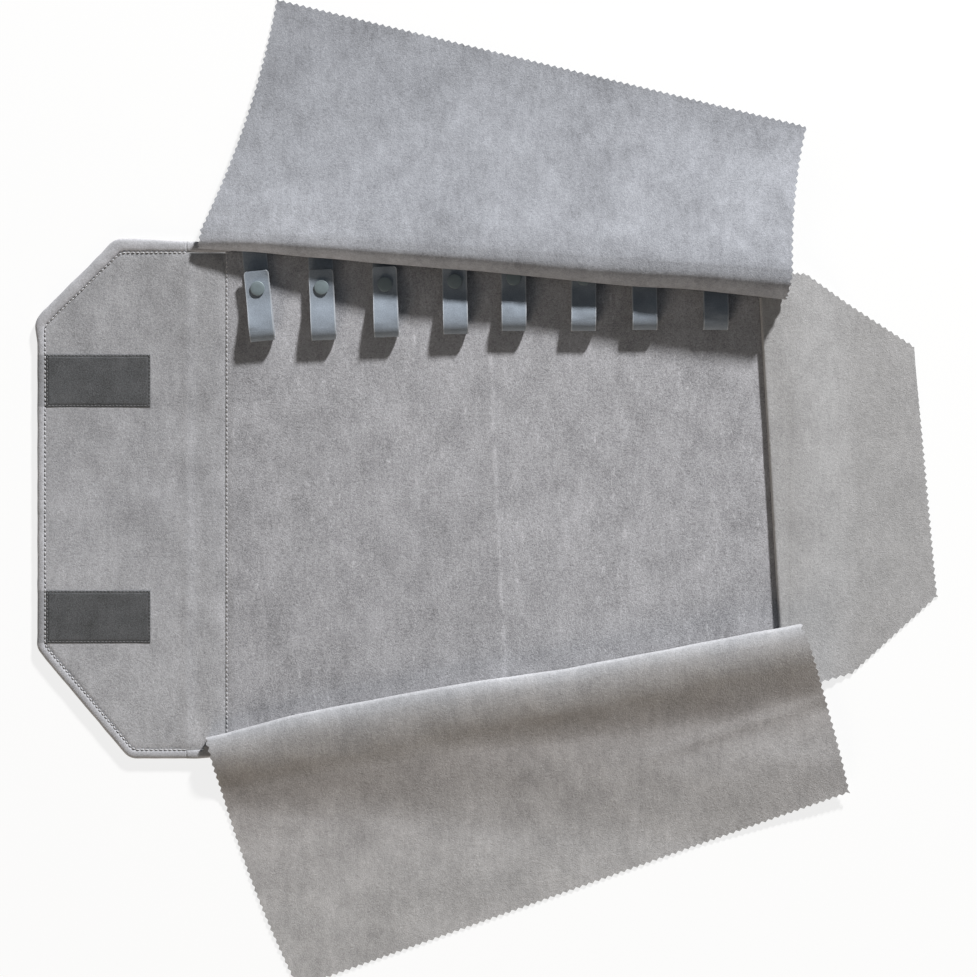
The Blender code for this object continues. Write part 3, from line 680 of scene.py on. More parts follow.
def tape_finish(name, colour, strips_x, fuzz):
    """Fastening tape: a flat woven border round a field of hooks or loops.

    The weave is two sine waves of 0.9 mm along X and Y; the field begins 1.4 to 2.4 mm inside
    the edge of either strip.
    """
    shop = Shop(bpy.data.materials.new(name))
    where = shop.coordinates()
    along = shop.axis(where, "X")
    across = shop.axis(where, "Y")
    beat = 2 * math.pi / 0.0009

    def wave(value):
        return shop.node("ShaderNodeMath", {"operation": "SINE"}, {0: value * beat})

    weave = wave(along) * wave(across)
    speck = shop.noise(where, 0.0008, 2.0, 0.8) - 0.5
    patch = shop.noise(where, 0.014, 3.0, 0.6) - 0.5
    field = 0.0
    for y in strip_places.values():
        reach = (strip_size[0] / 2 - (along - strips_x).size()).low(
            strip_size[1] / 2 - (across - y).size())
        field = shop.ramp(reach, 0.0014, 0.0024) + field
    nap = speck * 2.3 + weave * 0.16 + patch * (0.8 + fuzz) + field * 0.14
    return shop.skin({
        "Base Color": shop.blend((nap + 0.34).held(), *shades(colour, 0.45, 1.75)),
        "Roughness": 0.72 + speck * 0.3,
        "Normal": shop.bump(weave * 0.35 + speck * 0.9 + field * 0.5, 0.0005, 0.7),
        "Specular IOR Level": 0.35, "Sheen Weight": 0.10,
    })


def thread_finish(name, colour):
    """Twisted sewing thread: fine slanting bands of light and dark."""
    shop = Shop(bpy.data.materials.new(name))
    twist = shop.node("ShaderNodeTexWave", {"wave_type": "BANDS", "bands_direction": "DIAGONAL"}, {
        "Vector": shop.coordinates(), "Scale": 900.0, "Distortion": 0.6})
    return shop.skin({
        "Base Color": shop.blend(twist, *shades(colour, 0.80, 1.18)), "Roughness": 0.62 + twist * 0.1,
        "Normal": shop.bump(twist, 0.0001, 0.4), "Specular IOR Level": 0.35,
    })


def enamel_finish(name, colour):
    """Satin enamel on a pressed cap, faintly uneven."""
    shop = Shop(bpy.data.materials.new(name))
    where = shop.coordinates()
    cloud = shop.noise(where, 0.0035, 3.0, 0.6) - 0.5
    dust = shop.noise(where, 0.0006, 2.0, 0.7) - 0.5
    return shop.skin({
        "Base Color": shop.blend((cloud * 0.8 + dust * 0.7 + 0.5).held(), *shades(colour, 0.82, 1.18)),
        "Roughness": 0.46 + cloud * 0.15, "Metallic": 0.15,
        "Normal": shop.bump(dust, 0.0001, 0.3), "Specular IOR Level": 0.45,
    })


def metal_finish(name, colour):
    """Nickel plate with fine turning marks."""
    shop = Shop(bpy.data.materials.new(name))
    where = shop.coordinates()
    marks = shop.noise(shop.stretched(where, (1.0, 6.0, 1.0)), 0.0008, 2.0, 0.6) - 0.5
    return shop.skin({
        "Base Color": shop.blend((marks * 0.8 + 0.5).held(), *shades(colour, 0.85, 1.1)),
        "Roughness": 0.30 + marks * 0.2, "Metallic": 1.0,
    })


def foam_finish(name, colour):
    """Open foam interlining with fine cells."""
    shop = Shop(bpy.data.materials.new(name))
    cells = shop.node("ShaderNodeTexVoronoi", {}, {"Vector": shop.coordinates(), "Scale": 900.0})
    return shop.skin({
        "Base Color": shop.blend(cells, *shades(colour, 0.8, 1.0)), "Roughness": 0.95 - cells * 0.05,
        "Normal": shop.bump(cells, 0.0003, 0.6), "Specular IOR Level": 0.1,
    })


def top_levels(share):
    """Levels of the cloth's middle under and over the top flap's ridge."""
    low = mix(over_tails, over_caps, ease(share / 0.42))
    high = mix(0.0108, 0.0260, 1 - (1 - share) ** 4.5) + 0.0038 * ease((share - 0.6) / 0.4)
    return low, np.maximum(high, low + 2.5 * flap_thickness)


def bottom_levels(share):
    """Levels of the cloth's middle under and over the bottom flap's ridge."""
    clear_of_side = on_lining + 2 * side_radius + flap_thickness + 0.0003
    low = mix(on_lining, clear_of_side, share)
    return low, low + 2 * mix(0.0034, 0.0042, share)


def fold_section(share, seam, ridge, crest, low, lip, outward, rise_share=1.0, power=2.0):
    """Carry cloth in from its seam, round a lip at the ridge and up a soft front to its crest.

    Up to the lip's start it goes straight in and rises by an eased share. Up to the front's
    start it turns round the lip's radius until it points up the front, and then it climbs to
    the crest by 1 - (1 - t)^power. Six rounds settle where the lip meets the front.
    """
    centre = ridge + outward * lip
    tilt = np.zeros_like(share)
    for _ in range(6):
        front = centre - outward * lip * np.sin(tilt)
        foot = low + lip * (1 + np.cos(tilt))
        tilt = np.arctan2(power * (crest[1] - foot), outward * (crest[0] - front))
    inward = np.clip(share / lip_start, 0, 1)
    turn = np.clip((share - lip_start) / (front_start - lip_start), 0, 1) * (math.pi - tilt)
    climb = np.clip((share - front_start) / (1 - front_start), 0, 1)
    on_seam_side = share < lip_start
    place = np.where(on_seam_side, mix(seam[0], centre, inward), centre - outward * lip * np.sin(turn))
    level = np.where(on_seam_side, mix(seam[1], low, ease(inward / rise_share)),
                     low + lip * (1 - np.cos(turn)))
    on_front = share > front_start
    place = np.where(on_front, mix(front, crest[0], climb), place)
    level = np.where(on_front, mix(foot, crest[1], 1 - (1 - climb) ** power), level)
    return place, level


def fold_rows(columns):
    """Shares for a fold's grid, with most rows round the ridge and up its front."""
    along = np.concatenate((np.linspace(0, 0.34, 24), np.linspace(lip_start, front_start, 26),
                            np.linspace(front_start + 0.015, 1.0, 18)))
    across = np.linspace(0, 1, columns)
    shares = np.meshgrid(along, across, indexing="ij")
    return shares[1], shares[0]


def falling(distance, reach, high, edge_level, drop):
    """Level of cloth that slopes from a ridge to the panel's edge and then eases to the table."""
    inside = 1 - np.clip(-distance / reach, 0, 1)
    over_panel = mix(high, edge_level, inside ** 1.35)
    beyond = mix(edge_level, on_table, ease(distance / drop))
    return np.where(distance < 0, over_panel, beyond)


def settled(x, y, level, seed, height, along):
    """Add soft waves above a level: seeded ripples from 25 to 120 mm, none at the fold."""
    wave = ripples(x, y, seed, 14, 0.025, 0.120) * 0.5 + 0.5
    lively = 0.30 + 0.70 * ease(level / 0.012)
    return level + height * np.clip(wave, 0, 1.2) * lively * ease(along / 0.16)


def run_along(across, along, ridge_x, crest_x):
    """x of a fold's cloth, which goes over from its seam's to its ridge's and its crest's."""
    x = mix(mix(*seam_run, across), ridge_x, ease(along / lip_start))
    return mix(x, crest_x, ease((along - front_start) / (1 - front_start)))


def top_crest_line(share):
    """The top flap's crest behind its ridge: x, y and level, a little wavy."""
    x, y = on_line(top_crest, share)
    return x, y, top_levels(share)[1] + 0.0005 * ripples(x, 0 * x, 13, 7, 0.04, 0.2)


def top_fold_points(columns):
    """Surface of the top flap's fold, over the straps' tails and the first snaps."""
    across, along = fold_rows(columns)
    low, _ = top_levels(across)
    crest_x, crest_y, level = top_crest_line(across)
    ridge_x, ridge_y = on_line(top_ridge, across)
    ridge_y = ridge_y + 0.0007 * ripples(ridge_x, 0 * ridge_x, 11, 9, 0.03, 0.16) * ease(along / 0.3)
    y, z = fold_section(along, (seam_y, over_tails), ridge_y, (crest_y, level), low,
                        mix(0.0014, 0.0040, across), 1.0, rise_share=0.40, power=4.0)
    return stacked(run_along(across, along, ridge_x, crest_x), y, z)


def leaf_grid(rows, columns, crest, far, left_bow, right_bow):
    """Shares across and along a leaf between its bowed left and right edges, and its x and y."""
    across, along = lattice(rows, columns)
    shares = np.linspace(0, 1, rows)
    left = bowed(crest[0], far[0], shares, left_bow)[:, None]
    right = bowed(crest[1], far[1], shares, right_bow)[:, None]
    return across, along, *np.moveaxis(mix(left, right, across[..., None]), -1, 0)


def top_leaf_points(rows, columns, waves):
    """Surface of the top flap's loose part: straight from crest to far edge, with soft waves.

    It falls to the table by (1 - w)^1.4, where w = 1.04 v^2 / (v + 0.04) rounds the crest.
    """
    across, along, x, y = leaf_grid(rows, columns, top_crest, top_far, -0.0060, 0.0030)
    level = top_crest_line(across)[2]
    rounded = along ** 2 / (along + 0.04) * 1.04
    fall = (1 - np.minimum(rounded, 1.0)) ** 1.4
    return stacked(x, y, settled(x, y, on_table + (level - on_table) * fall, 21, waves, along))


def bottom_bow(share):
    """How far the bottom flap's ridge bows towards the straps along its left half."""
    return 0.0044 * ease(share / 0.16) * (1 - ease((share - 0.34) / 0.32))


def bottom_crest_line(share):
    """The bottom flap's crest behind its ridge: x, y and level, a little wavy."""
    x, y = on_line(bottom_crest, share)
    level = bottom_levels(share)[1] + 0.0004 * ripples(x, 0 * x, 14, 7, 0.04, 0.2)
    return x, y + bottom_bow(share), level


def bottom_fold_points(columns):
    """Surface of the bottom flap's fold, over the panel's lower edge."""
    across, along = fold_rows(columns)
    low, _ = bottom_levels(across)
    crest_x, crest_y, level = bottom_crest_line(across)
    ridge_x, ridge_y = on_line(bottom_ridge, across)
    ridge_y = (ridge_y + bottom_bow(across)
               + 0.0005 * ripples(ridge_x, 0 * ridge_x, 12, 9, 0.03, 0.16) * ease(along / 0.3))
    y, z = fold_section(along, (-seam_y, on_lining), ridge_y, (crest_y, level), low,
                        mix(0.0028, 0.0035, across), -1.0)
    return stacked(run_along(across, along, ridge_x, crest_x), y, z)


def bottom_leaf_points(rows, columns, waves):
    """Surface of the bottom flap's loose part, which falls from a fat ridge to the table.

    Its level is that of the panel's edge eased down to the table, plus the crest's height
    times 1 less an eased share of the way from the crest, and one soft crease near its right.
    """
    across, along, x, y = leaf_grid(rows, columns, bottom_crest, bottom_far, -0.0050, 0.0015)
    y = y + bottom_bow(across) * (1 - along) ** 2
    _, crest_y, high = bottom_crest_line(across)
    edge_level = on_lining + flap_thickness + 2 * gap
    under = mix(edge_level, on_table, ease((-panel_half + 0.006 - y) / mix(0.048, 0.085, across)))
    level = under + (high - edge_level) * (1 - ease((crest_y - y) / mix(0.033, 0.052, across)))
    crease_slope = 0.3265
    crease = (y + 0.1852 - crease_slope * (x - 0.1099)) / math.hypot(1, crease_slope)
    level = level + 0.0006 * np.exp(-(crease / 0.0055) ** 2) * ease((x - 0.085) / 0.05)
    return stacked(x, y, settled(x, y, level, 33, waves, along))


def side_fold_points(columns):
    """Surface of the side flap's fold on the panel's right edge."""
    across, along = fold_rows(columns)
    ridge_x, ridge_y = on_line(side_ridge, across)
    x, z = fold_section(along, (panel_right - seam_inset, on_lining), ridge_x,
                        (ridge_x + side_radius + 2 * gap, on_lining + 2 * side_radius),
                        on_lining, side_radius, 1.0)
    return stacked(x, ridge_y, z)


def side_leaf_points(rows, columns, waves):
    """Surface of the side flap's loose part, between its upper and lower outlines."""
    across, along = lattice(rows, columns)
    shares = np.linspace(0, 1, rows)
    lower_near, upper_near = ((x + side_radius + 2 * gap, y) for x, y in side_ridge)
    upper = polyline((upper_near, *side_upper_corners), (0.0, 0.17, 0.25, 0.48, 0.86, 1.0), shares)
    lower = polyline((lower_near, *side_lower_corners), (0.0, 0.17, 0.36, 0.50, 1.0), shares)
    x, y = np.moveaxis(mix(lower[:, None], upper[:, None], across[..., None]), -1, 0)
    high = on_lining + 2 * side_radius
    edge_level = mix(high, on_lining + flap_thickness + gap, 0.4)
    reach = panel_right - on_line(side_ridge, across)[0] - side_radius
    level = falling(x - panel_right, reach, high, edge_level, 0.052)
    return stacked(x, y, settled(x, y, level, 45, waves, along))


def area_of(points):
    """Area of a grid surface, from the cross products of its cells' diagonals."""
    first = points[1:, 1:] - points[:-1, :-1]
    second = points[1:, :-1] - points[:-1, 1:]
    return float(np.linalg.norm(np.cross(first, second), axis=-1).sum() / 2)


def cloth_hollows(x, y, seed, waves, shortest, longest):
    """Seeded ripples from 0 to 1, as shares of a cloth's hollows."""
    return 0.5 - 0.5 * ripples(x, y, seed, waves, shortest, longest)


def panel_lining_points(waves, draw):
    """Surface of the panel's lining: soft hollows, a faint creased line up its middle, a dip at
    its left seam and edges drawn down where they are sewn to the cover."""
    across, along = lattice(150, 138)
    x = mix(seam_x, panel_right, across)
    y = mix(-panel_half, panel_half, along)
    border = np.minimum(panel_right - x, panel_half - np.abs(y))
    level = lining_top - lining_thickness / 2 - draw * (1 - ease(border / 0.0065)) ** 1.6
    level -= seam_dip * (1 - ease((x - seam_x) / 0.0035))
    level -= waves * cloth_hollows(x, y, 5, 18, 0.030, 0.140) * ease((x - seam_x) / 0.02)
    crease = x - (-0.0129 - 0.0469 * (y - 0.1257))
    level += 0.00016 * np.exp(-(crease / 0.0026) ** 2) * ease((y + 0.12) / 0.10)
    return stacked(x, y, level)


def end_bounds(x, inset):
    """Lowest and highest y of the end flap's outline at an x, moved inwards by an inset."""
    from_left = x - end_left
    upper = panel_half - upper_cut[1] + upper_slope * from_left - inset * math.hypot(1, upper_slope)
    lower = -panel_half + lower_cut[1] - lower_slope * from_left + inset * math.hypot(1, lower_slope)
    return np.maximum(lower, -panel_half + inset), np.minimum(upper, panel_half - inset)


def end_lining_points(waves):
    """Surface of the spine's and the end flap's lining, one cloth with a pressed crease between."""
    across, along = lattice(160, 60)
    x = mix(seam_x - gap, end_left + hem_width + gap, across)
    low, high = end_bounds(x, hem_width + gap)
    y = mix(low, high, along)
    level = lining_top - lining_thickness / 2 + 0 * x
    level -= seam_dip * (1 - ease((seam_x - x) / 0.0035))
    border = np.minimum(high - y, y - low)
    level -= 0.0004 * (1 - ease(border / 0.0030))
    level -= 0.0001 * (1 - ease((x - end_left - hem_width) / 0.003))
    level += 0.00040 * np.exp(-((x - hinge_x) / 0.0030) ** 2)
    level -= 0.00030 * np.exp(-((x - hinge_x - 0.0090) / 0.0050) ** 2)
    level -= waves * cloth_hollows(x, y, 8, 16, 0.025, 0.110)
    return stacked(x, y, level)


def cover_points():
    """Surface of the back cover from the panel's right edge to the end flap's hem.

    It lies on the table, rises over the two loop strips let into it and, round the panel, is
    drawn up to the lining's edge.
    """
    across, along = lattice(150, 190)
    x = mix(end_left + hem_width + gap, panel_right, across)
    low, high = end_bounds(x, hem_width + gap)
    on_panel = ease((x - seam_x - 0.0045) / 0.0012)
    y = mix(mix(low, -panel_half, on_panel), mix(high, panel_half, on_panel), along)
    border = np.minimum(panel_right - x, panel_half - np.abs(y))
    lying = 0.00050
    level = lying + 0.0011 * (1 - ease(border / 0.0060)) * on_panel
    for middle in strip_places.values():
        reach = inside_strip(x, y, (loop_strip_x, middle))
        level = np.maximum(level, lying + 0.00105 * ease((reach + 0.0026) / 0.0024))
    return stacked(x, y, level)


def rounded_path(corners, radius, spacing):
    """Even points along an open run of straight lines whose inner corners are arcs."""
    corners = np.array(corners, dtype=float)
    pieces = [corners[:1]]
    for before, here, after in zip(corners, corners[1:], corners[2:]):
        back, ahead = normalised(before - here), normalised(after - here)
        half = math.acos(np.clip(back @ ahead, -1, 1)) / 2
        centre = here + normalised(back + ahead) * radius / math.sin(half)
        first = here + back * radius / math.tan(half) - centre
        last = here + ahead * radius / math.tan(half) - centre
        swing = math.pi - 2 * half
        share = np.linspace(0, 1, 13)[:, None]
        pieces.append(centre + (first * np.sin((1 - share) * swing) + last * np.sin(share * swing))
                      / math.sin(swing))
    pieces.append(corners[-1:])
    run = np.concatenate(pieces)
    reach = travelled(run)
    even = np.linspace(0, reach[-1], max(2, int(reach[-1] / spacing)))
    return polyline(run, reach, even)


def end_corners(inset):
    """Corners of the end flap's outline from its upper crease end round to the lower one."""
    left = end_left + inset
    top = panel_half - inset
    near_crease = hinge_x - 0.0001
    upper_shift, lower_shift = inset * math.hypot(1, upper_slope), inset * math.hypot(1, lower_slope)
    upper_at_left = panel_half - upper_cut[1] + upper_slope * inset - upper_shift
    lower_at_left = -panel_half + lower_cut[1] - lower_slope * inset + lower_shift
    upper_turn = left + (top - upper_at_left) / upper_slope
    lower_turn = left + (lower_at_left + top) / lower_slope
    return ((near_crease, top), (upper_turn, top), (left, upper_at_left),
            (left, lower_at_left), (lower_turn, -top), (near_crease, -top))


def end_outline(inset, radius, spacing):
    """The end flap's outline, moved inwards, as even points with rounded corners."""
    return rounded_path(end_corners(inset), radius, spacing)


def squared(value):
    """A sine or cosine, raised to a power of 0.8 so that an oval of them is a little squared."""
    return np.sign(value) * np.abs(value) ** 0.8


def hem_tube(middle, side, extra, swell):
    """Rings of a soft oval across the hem's path: w/2 cos a to the side and h/2 (1 + sin a) up.

    The width w is the hem's with its extra, times the swell, which h has by half. The sine and
    cosine are squared a little.
    """
    angle = np.linspace(0, 2 * math.pi, 24, endpoint=False)
    half_width = (hem_width + extra) * swell / 2
    half_height = hem_height * (0.5 + 0.5 * swell) / 2
    away = middle[:, None] + side[:, None] * squared(np.cos(angle))[:, None] * half_width[:, None, None]
    return stacked(away[..., 0], away[..., 1], (1 + squared(np.sin(angle))) * half_height[:, None])


def hem_swell(travel, seed):
    """Shares by which the hem's width swells and shrinks along its path."""
    return mean_swell + 0.035 * ripples(travel, 0 * travel, seed, 10, 0.006, 0.060)


def hem_points():
    """Surface of the rolled hem along the end flap's outline, widest on its upper slant.

    Its inner edge keeps the outline's inset, and what it is wider by lies outside.
    """
    path = end_outline(inset=hem_width / 2, radius=0.0110 - hem_width / 2, spacing=0.0011)
    way = np.gradient(path, axis=0)
    side = normalised(np.stack((-way[:, 1], way[:, 0]), -1))
    turn = travelled(end_corners(hem_width / 2))
    travel = np.linspace(0, turn[-1], len(path))
    stops = (turn[0], turn[1], turn[1] + 0.012, turn[2] - 0.008, turn[2] + 0.014,
             turn[3] - 0.010, turn[3] + 0.010, turn[5])
    extra = np.interp(travel, stops, (upper_bulge, 0.0052, 0.0042, 0.0036, 0.0003,
                                      0.0003, lower_bulge, lower_bulge))
    return hem_tube(path - side * extra[:, None] / 2, side, extra, hem_swell(travel, 17))


def spine_hem_points(edge):
    """Surface of the short hem on one edge of the spine, which the end flap's hem runs on into."""
    x = np.linspace(hinge_x - 0.0001, seam_x + 0.004, 30)
    extra = (upper_bulge if edge > 0 else lower_bulge) * (1 - ease((x - hinge_x - 0.004) / 0.020))
    swell = hem_swell(x, 18)
    swell[0] = mean_swell
    middle = np.stack((x, edge * (panel_half - hem_width / 2 + extra / 2)), -1)
    return hem_tube(middle, np.stack((0 * x, 0 * x - edge), -1), extra, swell)


def inside_strip(x, y, middle):
    """How far a place lies inside the edge of a fastening strip."""
    return np.minimum(strip_size[0] / 2 - np.abs(x - middle[0]),
                      strip_size[1] / 2 - np.abs(y - middle[1]))


def strip_points(middle, level, field_rise):
    """Top surface of a fastening strip: a flat border and a field that stands a little higher."""
    across, along = lattice(60, 116)
    x = middle[0] + (across - 0.5) * strip_size[0]
    y = middle[1] + (along - 0.5) * strip_size[1]
    reach = inside_strip(x, y, middle)
    return stacked(x, y, level + field_rise * (ease((reach - 0.0014) / 0.0010) - 1))


def strip_border(middle, level, inset):
    """Path of the stitching round a strip."""
    half_x, half_y = strip_size[0] / 2 - inset, strip_size[1] / 2 - inset
    turns = np.array(((-1, -1), (-1, 1), (1, 1), (1, -1), (-1, -1)), dtype=float) * (half_x, half_y)
    return stacked(middle[0] + turns[:, 0], middle[1] + turns[:, 1], level)


def pad_points(node, columns, seed, bounds=None):
    """Middle of a foam pad in its node's box, as wide at an x as the bounds say, faintly hollow."""
    low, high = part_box(node)
    across, along = lattice(60, columns)
    x = mix(low[0], high[0], across)
    lowest, highest = bounds(x) if bounds else (low[1], high[1])
    y = mix(lowest, highest, along)
    return stacked(x, y, (low[2] + high[2]) / 2 + 0.00006 * ripples(x, y, seed, 12, 0.02, 0.08))


def strap_frame(number):
    """A strap's fold place, its way up the panel and its way across."""
    index = number - 1
    lean = math.radians(strap_lean[index])
    place = np.array((first_strap_x + index * strap_pitch + strap_shift[index], strap_fold_y[index]))
    up_panel = np.array((-math.sin(lean), math.cos(lean)))
    return place, up_panel, np.array((up_panel[1], -up_panel[0]))


def strap_points(number):
    """Surface of one strap: along the lining, round the front of its loop and back to its end.

    The base leg lies level, two quarter ellipses of the loop's run make the round front, and
    the front leg eases down to the snap. Its last 3 mm narrow by the quarter of a circle.
    """
    place, up_panel, sideways = strap_frame(number)
    base_length = (seam_y - seam_inset - place[1]) / up_panel[1]
    turn = np.linspace(0, math.pi / 2, 16)
    base = np.linspace(base_length, loop_run, 26)[:-1]
    front = np.linspace(loop_run, strap_length, 46)[1:]
    fall = ease((front - loop_run) / (snap_from_fold - snap_cap_radius - loop_run))
    reach = np.concatenate((base, loop_run * (1 - np.sin(turn[::-1])),
                            loop_run * (1 - np.cos(turn[1:])), front))
    level = np.concatenate((
        0 * base + base_leg_level, fold_level - (fold_level - base_leg_level) * np.cos(turn[::-1]),
        fold_level + (loop_top_level - fold_level) * np.sin(turn[1:]),
        mix(loop_top_level, front_leg_level, fall)))
    on_front = np.concatenate((0 * base, 0 * turn, 0 * turn[1:], 1 + 0 * front))
    narrow = np.clip(1 - (strap_length - reach) / 0.0030, 0, 1) * on_front
    half = strap_width / 2 - 0.0018 * (1 - np.sqrt(1 - narrow ** 2))
    across = np.linspace(-1, 1, 15)
    side = np.multiply.outer(half, across)
    x = place[0] + side * sideways[0] + reach[:, None] * up_panel[0]
    y = place[1] + side * sideways[1] + reach[:, None] * up_panel[1]
    loose = ease((reach - 0.002) / 0.012) * on_front
    hollow = np.exp(-((reach[:, None] - snap_from_fold) ** 2 + side ** 2) / 0.0062 ** 2)
    relief = 0.00035 * ripples(x, y, 60 + number, 8, 0.010, 0.035) + 0.0003 * np.abs(across) ** 3
    relief = relief * loose[:, None] * (1 - hollow)
    curl = 0.0007 * ease((reach - strap_length + 0.007) / 0.007) * on_front
    return stacked(x, y, level[:, None] + relief + curl[:, None])


def cap_profile():
    """Profile of a snap cap from its top, with a shallow dish and a rolled rim, and its socket."""
    radius = snap_cap_radius
    rim = 0.00045
    dome = [(radius * 0.86 * t, cap_height - 0.00028 * t ** 4) for t in np.linspace(0, 1, 9)[1:]]
    turned = [(radius - rim + rim * math.sin(a), 0.00058 + rim * math.cos(a))
              for a in np.radians((25, 50, 75, 100, 130, 160))]
    socket = [(radius - 0.0004, 0.0), (0.0014, 0.0), (0.0014, -0.0018), (0.0040, -0.0018),
              (0.0042, -0.0020), (0.0042, -0.0029), (0.0040, -0.0031), (0.0022, -0.0031),
              (0.0022, -0.0021)]
    profile = [(0.0, cap_height), *dome, *turned, *socket, (0.0, -0.0021)]
    return [(r, cap_top - cap_height + h) for r, h in profile]


class ROLL_OT_panel(bpy.types.Operator):
    """Make the panel's lining and padding and the stitched seam beside it"""

    bl_idname = "roll.panel"
    bl_label = "Panel"

    def execute(self, context):
        sizes = context.scene.roll_sizes
        points = panel_lining_points(sizes.lining_waves, sizes.edge_draw)
        lining = sheet_piece("lining_cloth", points, lining_thickness, finishes["lining"])
        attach(lining, "panel")
        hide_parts("panel_lining")
        ends = np.array((seam_stitch_end - panel_half, panel_half - seam_stitch_end))
        path = stacked(seam_x + seam_stitch_offset, ends, lining_top - seam_thread_drop)
        seam = stitch_piece("seam_stitches", path, sizes.stitch_pitch, sizes.thread_width,
                            finishes["thread"])
        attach(seam, "panel")
        points = pad_points("panel_padding", columns=66, seed=71)
        pad = sheet_piece("panel_pad", points, foam_thickness, finishes["foam"])
        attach(pad, "panel")
        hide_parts("panel_padding")
        return {"FINISHED"}


class ROLL_OT_end_flap(bpy.types.Operator):
    """Make the end flap with the spine: lining, cover, hem, padding and their stitching"""

    bl_idname = "roll.end_flap"
    bl_label = "End flap and cover"

    def execute(self, context):
        sizes = context.scene.roll_sizes
        points = end_lining_points(sizes.lining_waves)
        lining = sheet_piece("end_lining_cloth", points, lining_thickness, finishes["suede"])
        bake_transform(lining)
        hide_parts("spine_lining", "end_flap_lining")
        hem = tube_piece("rolled_hem", hem_points(), finishes["hem"])
        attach(hem, "end_flap")
        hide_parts("end_flap_hem")
        for label, edge in (("upper", 1.0), ("lower", -1.0)):
            short = tube_piece("spine_hem_" + label, spine_hem_points(edge), finishes["hem"])
            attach(short, "panel")
        path = end_outline(inset=hem_width - 0.0001, radius=0.0060, spacing=0.004)
        path = stacked(path[:, 0], path[:, 1], lining_top - hem_thread_drop)
        stitches = stitch_piece("hem_stitches", path, sizes.stitch_pitch, sizes.thread_width,
                                finishes["thread"])
        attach(stitches, "end_flap")
        cover = sheet_piece("back_cover", cover_points(), cover_thickness, finishes["suede"])
        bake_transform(cover)
        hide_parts("outer_cover", "end_flap_cover")
        points = pad_points("end_flap_padding", columns=30, seed=72,
                            bounds=lambda x: end_bounds(x, hem_width + 0.006))
        pad = sheet_piece("end_pad", points, foam_thickness, finishes["foam"])
        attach(pad, "end_flap")
        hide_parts("end_flap_padding")
        return {"FINISHED"}


class ROLL_OT_strips(bpy.types.Operator):
    """Make the hook strips on the end flap and the loop strips let into the back"""

    bl_idname = "roll.strips"
    bl_label = "Fastening strips"

    def execute(self, context):
        for label, y in strip_places.items():
            self.make_tape(
                "hook", label, (hook_strip_x, y), hook_tape_thickness, "end_flap", "end_lining_cloth",
                level=lining_top + 0.0005 - hook_tape_thickness / 2, rise=0.0003,
                thread_level=lining_top + 0.00020, sink=0.0002)
            self.make_tape(
                "loop", label, (loop_strip_x, y), loop_tape_thickness, "panel", "back_cover",
                level=0.00060, rise=-0.0002, thread_level=0.00045, sink=-0.0002)
        return {"FINISHED"}

    def make_tape(self, kind, label, middle, thickness, body, under, level, rise, thread_level, sink):
        """Make one strip of a kind, whose field rises above its border, and the stitches round it."""
        points = strip_points(middle, level, rise)
        name = f"{kind}_tape_{label}"
        tape = sheet_piece(name, points, thickness, finishes[kind])
        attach(tape, body)
        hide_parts(f"{kind}_strip_{label}")
        border = strip_border(middle, thread_level, strip_stitch_inset)
        stitches = stitch_piece(f"{name}_stitches", border, strip_stitch_pitch, strip_thread_width,
                                finishes["dark_thread"], sink)
        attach(stitches, body)


class ROLL_OT_straps(bpy.types.Operator):
    """Make the eight folded snap straps with their caps, and plate the studs"""

    bl_idname = "roll.straps"
    bl_label = "Snap straps"

    def execute(self, context):
        sizes = context.scene.roll_sizes
        for number in range(1, 1 + len(strap_lean)):
            body = f"strap_{number}"
            place, up_panel, _ = strap_frame(number)
            points = strap_points(number)
            strap = sheet_piece(f"{body}_cloth", points, strap_thickness, finishes["strap"])
            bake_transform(strap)
            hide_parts(f"{body}_base", f"{body}_front")
            snap = place + up_panel * snap_from_fold
            cap = turned_piece(f"cap_{number}", cap_profile(), sizes.cap_sides, finishes["enamel"],
                               (snap[0], snap[1], 0.0))
            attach(cap, body)
            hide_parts(f"snap_{number}_cap")
            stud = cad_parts[f"snap_{number}_stud"]
            stud.data.materials.clear()
            stud.data.materials.append(finishes["metal"])
        return {"FINISHED"}


def make_flap(name, fold, leaf, edges, finish, sizes):
    """Make a flap of its fold and its pinked loose part.

    Both take their normals from one grid of the whole cloth, so no line shows where they meet.
    """
    normals = surface_normals(np.concatenate((fold[:-1], leaf)))
    seam_row = len(fold) - 1
    for edge, teeth in edges.items():
        points_along = leaf.shape[1] if edge == "far" else leaf.shape[0]
        leaf = pinked(leaf, edge, teeth * np.linspace(0, 1, points_along), sizes.tooth_depth)
    for edge, column in (("left", 0), ("right", -1)):
        fold = pinked(fold, edge, turns_back(fold[:, column], sizes.tooth_pitch), sizes.tooth_depth)
    loose = sheet_piece(name + "_cloth", leaf, flap_thickness, finish, normals[seam_row:])
    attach(loose, name)
    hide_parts(name)
    turned = sheet_piece(name + "_fold_cloth", fold, flap_thickness, finish,
                         normals[:seam_row + 1])
    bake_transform(turned)
    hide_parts(name + "_fold")
    for piece, points in ((loose, leaf), (turned, fold)):
        area = area_of(points)


